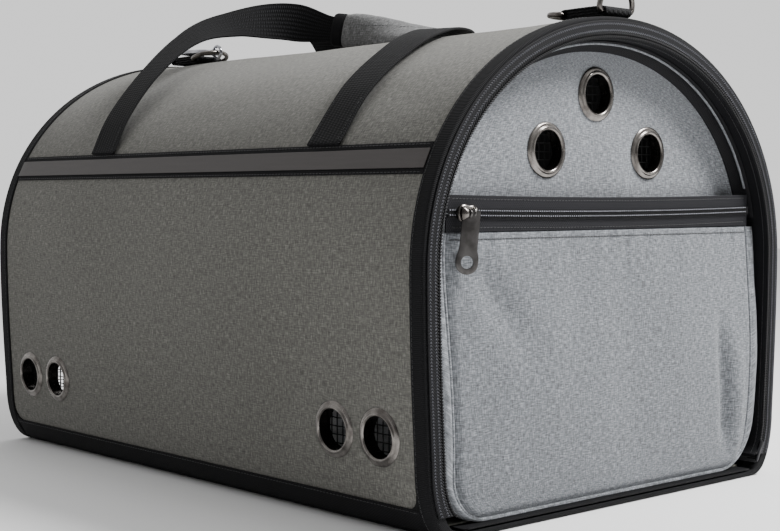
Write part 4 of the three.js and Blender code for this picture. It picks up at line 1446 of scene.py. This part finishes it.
def grip():
    build = Build()

    def section(t):
        share = (t - GRIP_START) / (GRIP_END - GRIP_START)
        full = smooth(min(share, 1 - share), 0, 0.09)
        crease = 0.35 * noise.noise(Vector((share * 9, 2, 0)))
        return grip_section(12.9 + 1.1 * full + crease, 5.6 + 1.5 * full + crease * 0.5, 0.8)
    sweep(build, LEFT_POINTS, LEFT_WAYS, section, GRIP_START, GRIP_END, 90)
    for lift in (-6.9, 6.9):
        edge_stitches(build, LEFT_POINTS, LEFT_WAYS, GRIP_START + 0.01, GRIP_END - 0.01, 3.5, lift, 1)
    made = build.object("grip_wrap", [GRIP_CLOTH, DOOR_THREAD])
    piece(made, "left_handle", ["grip_sleeve"])
    for name, start, end in (("grip_cuff_back", GRIP_START - CUFF, GRIP_START - 0.0005),
                             ("grip_cuff_fore", GRIP_END + 0.0005, GRIP_END + CUFF)):
        build = Build()
        outer = "rear" if name.endswith("back") else "front"

        def cuff(t, a=start, b=end):
            share = (t - a) / (b - a)
            lip = 1 - smooth(min(share, 1 - share), 0, 0.2)
            return grip_section(13.1 - 0.8 * lip, 6.3 - 0.8 * lip, 0.85)
        sweep(build, LEFT_POINTS, LEFT_WAYS, cuff, start, end, 24)
        made = build.object(name, [BINDING_TAPE])
        piece(made, "left_handle", [f"grip_cuff_{outer}"])


grip()


# ---- fittings on the ridge ------------------------------------------------------------
def strap_tab(name, node, sign):
    """Webbing folded round both rings and sewn to the ridge."""
    build = Build()
    middle = (EYE_OUTER + EYE_INNER) / 2
    half = (EYE_OUTER - EYE_INNER) / 2
    path = []
    for i in range(72):
        angle = i * math.tau / 72
        c, s = math.cos(angle), math.sin(angle)
        stretch = half * math.copysign(min(1, abs(c) * 1.35), c)
        round_end = 2.6 * math.copysign(max(0, abs(c) - 0.74) / 0.26, c)
        path.append((stretch + round_end, 2.6 * math.copysign(min(1, abs(s) * 1.4) ** 0.8, s)))
    rows = []
    for y, z in path:
        away = Vector((0, y, z))
        normal = Vector((0, max(0, abs(y) - half) * math.copysign(1, y), z)).normalized()
        row = []
        for offset, lift in strap_section(25, 1.15):
            point = away + normal * lift + Vector((offset, 0, 0))
            row.append(Vector((point.x, sign * (middle + point.y), TAB_Z + point.z)))
        rows.append(row)
    lattice(build, rows, wrap_rows=True, wrap=True)
    for z in (-0.95, 0.95):
        core = [(y, z + b) for y, b in pill(-half + 3.2, half - 3.2, -0.8, 0.8, 0.5)]
        rows = [[Vector((x, sign * (middle + y), TAB_Z + b)) for y, b in core] for x in (-12.2, 12.2)]
        lattice(build, rows, wrap=True, caps=True)
    seams = [((-11, y), (11, y)) for y in (-8.5, 8.5)] + [((x, -8.5), (x, 8.5)) for x in (-10.8, 10.8)]
    for ends in seams:
        line = [(x, sign * (middle + y), TAB_Z + 3.22) for x, y in ends]
        stitches(build, line, 2.8, 1.9, 0.26, look=1)
    sewn(build, name, [STRAP, THREAD], "shell", node)


strap_tab("front_tab", "front_strap_tab", -1)
strap_tab("rear_tab", "rear_strap_tab", 1)


def closed_curve(points, count):
    """Even samples of a smooth closed curve through the points."""
    looped = [points[-2], points[-1]] + list(points) + [points[0], points[1]]
    found = []
    total = len(looped) - 1
    for i in range(count):
        t = (2 + i * len(points) / count) / total
        found.append(curve(looped, t))
    return found


def ring_line(half, depth):
    points = [Vector((x, 0, 0)) for x in (-half + 3, -half / 3, half / 3, half - 3)]
    points.append(Vector((half - 0.6, 0, 1)))
    for i in range(10):
        angle = i / 9 * math.pi
        points.append(Vector((half * math.cos(angle), 0, 3.2 + (depth - 3.2) * math.sin(angle))))
    points.append(Vector((-half + 0.6, 0, 1)))
    return closed_curve(points, 110)


def d_ring(name, node, body, y, lean):
    turn = Matrix.Rotation(math.radians(lean), 3, "X")
    build = Build()
    tube(build, [turn @ p + Vector((0, y, TAB_Z)) for p in ring_line(15.5, 16)], 1.8, 14, closed=True)
    made = build.object(name, [NICKEL])
    return piece(made, body, [node])


d_ring("front_d_loop", "front_d_ring", "front_ring", -EYE_OUTER, 8)
d_ring("front_inner_loop", "front_inner_ring", "front_inner_ring_body", -EYE_INNER, -86)
d_ring("rear_d_loop", "rear_d_ring", "rear_ring", EYE_INNER, 70)


def snap_hook():
    long, half, wire = 46, 8.6, 2.1
    tilt = Matrix.Rotation(0.05, 3, "X")
    origin = Vector((0, HOOK[0], HOOK[1]))
    points = vectors((half, 12, 0), (half * 0.72, 6, 0), (0, 3.4, 0), (-half * 0.72, 6, 0), (-half, 12, 0),
                     (-half, long * 0.5, 0), (-half, long - 9, 0), (-half * 0.7, long - 2.6, 0),
                     (0, long, 0), (half * 0.7, long - 2.6, 0), (half, long - 9, 0), (half, long - 14, 0))
    line = [curve(points, i / 120) for i in range(121)]
    build = Build()
    tube(build, line, wire, 14)
    ring = hoop(Vector(), Vector((0, 1, 0)), Vector((0, 0, 1)), 5, 48)
    tube(build, ring, 1.3, 12, closed=True)
    collar = [Vector((0, y, 0)) for y in (4.4, 5.2, 6.0)]
    tube(build, collar, 2.9, 20)
    build.points = [origin + tilt @ p for p in build.points]
    made = build.object("snap_hook_body", [CHROME], sharp=60)
    piece(made, "snap_hook", ["rear_snap_hook"])
    build = Build()
    tube(build, [Vector((half, y, 0)) for y in (14, 14.3, 20, 26, 31, 31.3)], 1.7, 14)
    build.points = [origin + tilt @ p for p in build.points]
    made = build.object("snap_gate_bar", [CHROME], sharp=60)
    piece(made, "snap_gate", ["rear_snap_gate"])


snap_hook()


# ---- floor mat ------------------------------------------------------------------------
def floor_mat():
    """Fleece pad: crowned between its quilting lines, drawn in at the edge seam."""
    half_x, y0, y1 = 138, -212, 222
    low, high = 6.7, 18.4
    centre_y, half_y = (y0 + y1) / 2, (y1 - y0) / 2
    count_x, count_y = 56, 88
    layers = []
    for up in (1, -1):
        rows = []
        for j in range(count_y + 1):
            row = []
            for i in range(count_x + 1):
                a, b = -1 + 2 * i / count_x, -1 + 2 * j / count_y
                corner = max(0, math.hypot(max(abs(a) * half_x - half_x + 22, 0),
                                           max(abs(b) * half_y - half_y + 22, 0)) - 22)
                shrink = 1 - corner / max(half_x, 1) * 0.9
                x, y = a * half_x * shrink, centre_y + b * half_y * shrink
                edge = min(half_x * (1 - abs(a)), half_y * (1 - abs(b)))
                crown = smooth(edge, -1, 16) ** 0.6
                line = min(abs((abs(a) * half_x + 34.5) % 69 - 34.5), abs((b * half_y + 36) % 72 - 36))
                tuft = 1 - 0.45 * math.exp(-(line / 5.5) ** 2) * (1 if up > 0 else 0)
                ripple = 0.5 * noise.noise(Vector((x * 0.03, y * 0.03, 4)))
                middle = (low + high) / 2
                height = (high - low) / 2 * crown * tuft + ripple * crown * (up > 0)
                row.append(Vector((x, y, middle + up * min(height, (high - low) / 2))))
            rows.append(row)
        layers.append(rows)
    build = Build()
    for rows in layers:
        lattice(build, rows)
    made = build.object("mat_pad", [FLEECE])
    piece(made, "shell", ["floor_mat"])


floor_mat()

# ---- CAD nodes that stay --------------------------------------------------------------
keep("wall_foam", FOAM)
keep("base_board", BOARD)


# ---- studio -------------------------------------------------------------------------------
def area_light(name, place, target, size, power, colour=(1, 1, 1)):
    data = bpy.data.lights.new(name, "AREA")
    data.shape = "DISK"
    data.size = size
    data.energy = power
    data.color = colour
    lamp = bpy.data.objects.new(name, data)
    bpy.context.collection.objects.link(lamp)
    lamp.location = place
    lamp.rotation_euler = (Vector(target) - Vector(place)).to_track_quat("-Z", "Y").to_euler()


FLOOR_HALF = 4000


def studio():
    corners = [(a * FLOOR_HALF, b * FLOOR_HALF, -0.5) for a, b in ((-1, -1), (1, -1), (1, 1), (-1, 1))]
    floor = Build().add(corners, [(0, 1, 2, 3)])
    paper = Look("floor_paper", roughness=0.9, specular=0.2)
    mottled = paper.noise((2, 2, 2), 3, False)
    paper.colour(paper.ramp(mottled, [(0.3, grey(0.82)), (0.7, grey(0.86))]))
    floor.object("floor", [paper.material])
    world = bpy.data.worlds.new("studio")
    world.use_nodes = True
    nodes, links = world.node_tree.nodes, world.node_tree.links
    around = nodes.new("ShaderNodeTexCoord")
    split = nodes.new("ShaderNodeSeparateXYZ")
    depth = nodes.new("ShaderNodeMath")
    fade = nodes.new("ShaderNodeMapRange")
    fade.inputs["From Min"].default_value = -1.3
    fade.inputs["From Max"].default_value = 0.5
    fade.inputs["To Min"].default_value = 0.3
    fade.inputs["To Max"].default_value = 1.1
    links.new(around.outputs["Generated"], split.inputs["Vector"])
    links.new(split.outputs["X"], depth.inputs[0])
    links.new(split.outputs["Y"], depth.inputs[1])
    links.new(depth.outputs[0], fade.inputs["Value"])
    links.new(fade.outputs["Result"], nodes["Background"].inputs["Strength"])
    nodes["Background"].inputs["Color"].default_value = (1, 1, 1, 1)
    bpy.context.scene.world = world
    area_light("key", (0.68, -0.9, 1.33), (0, -0.15, 0.2), 0.5, 54)
    area_light("top", (0.3, 0.6, 1.9), (0, 0, 0.25), 0.6, 3)


studio()
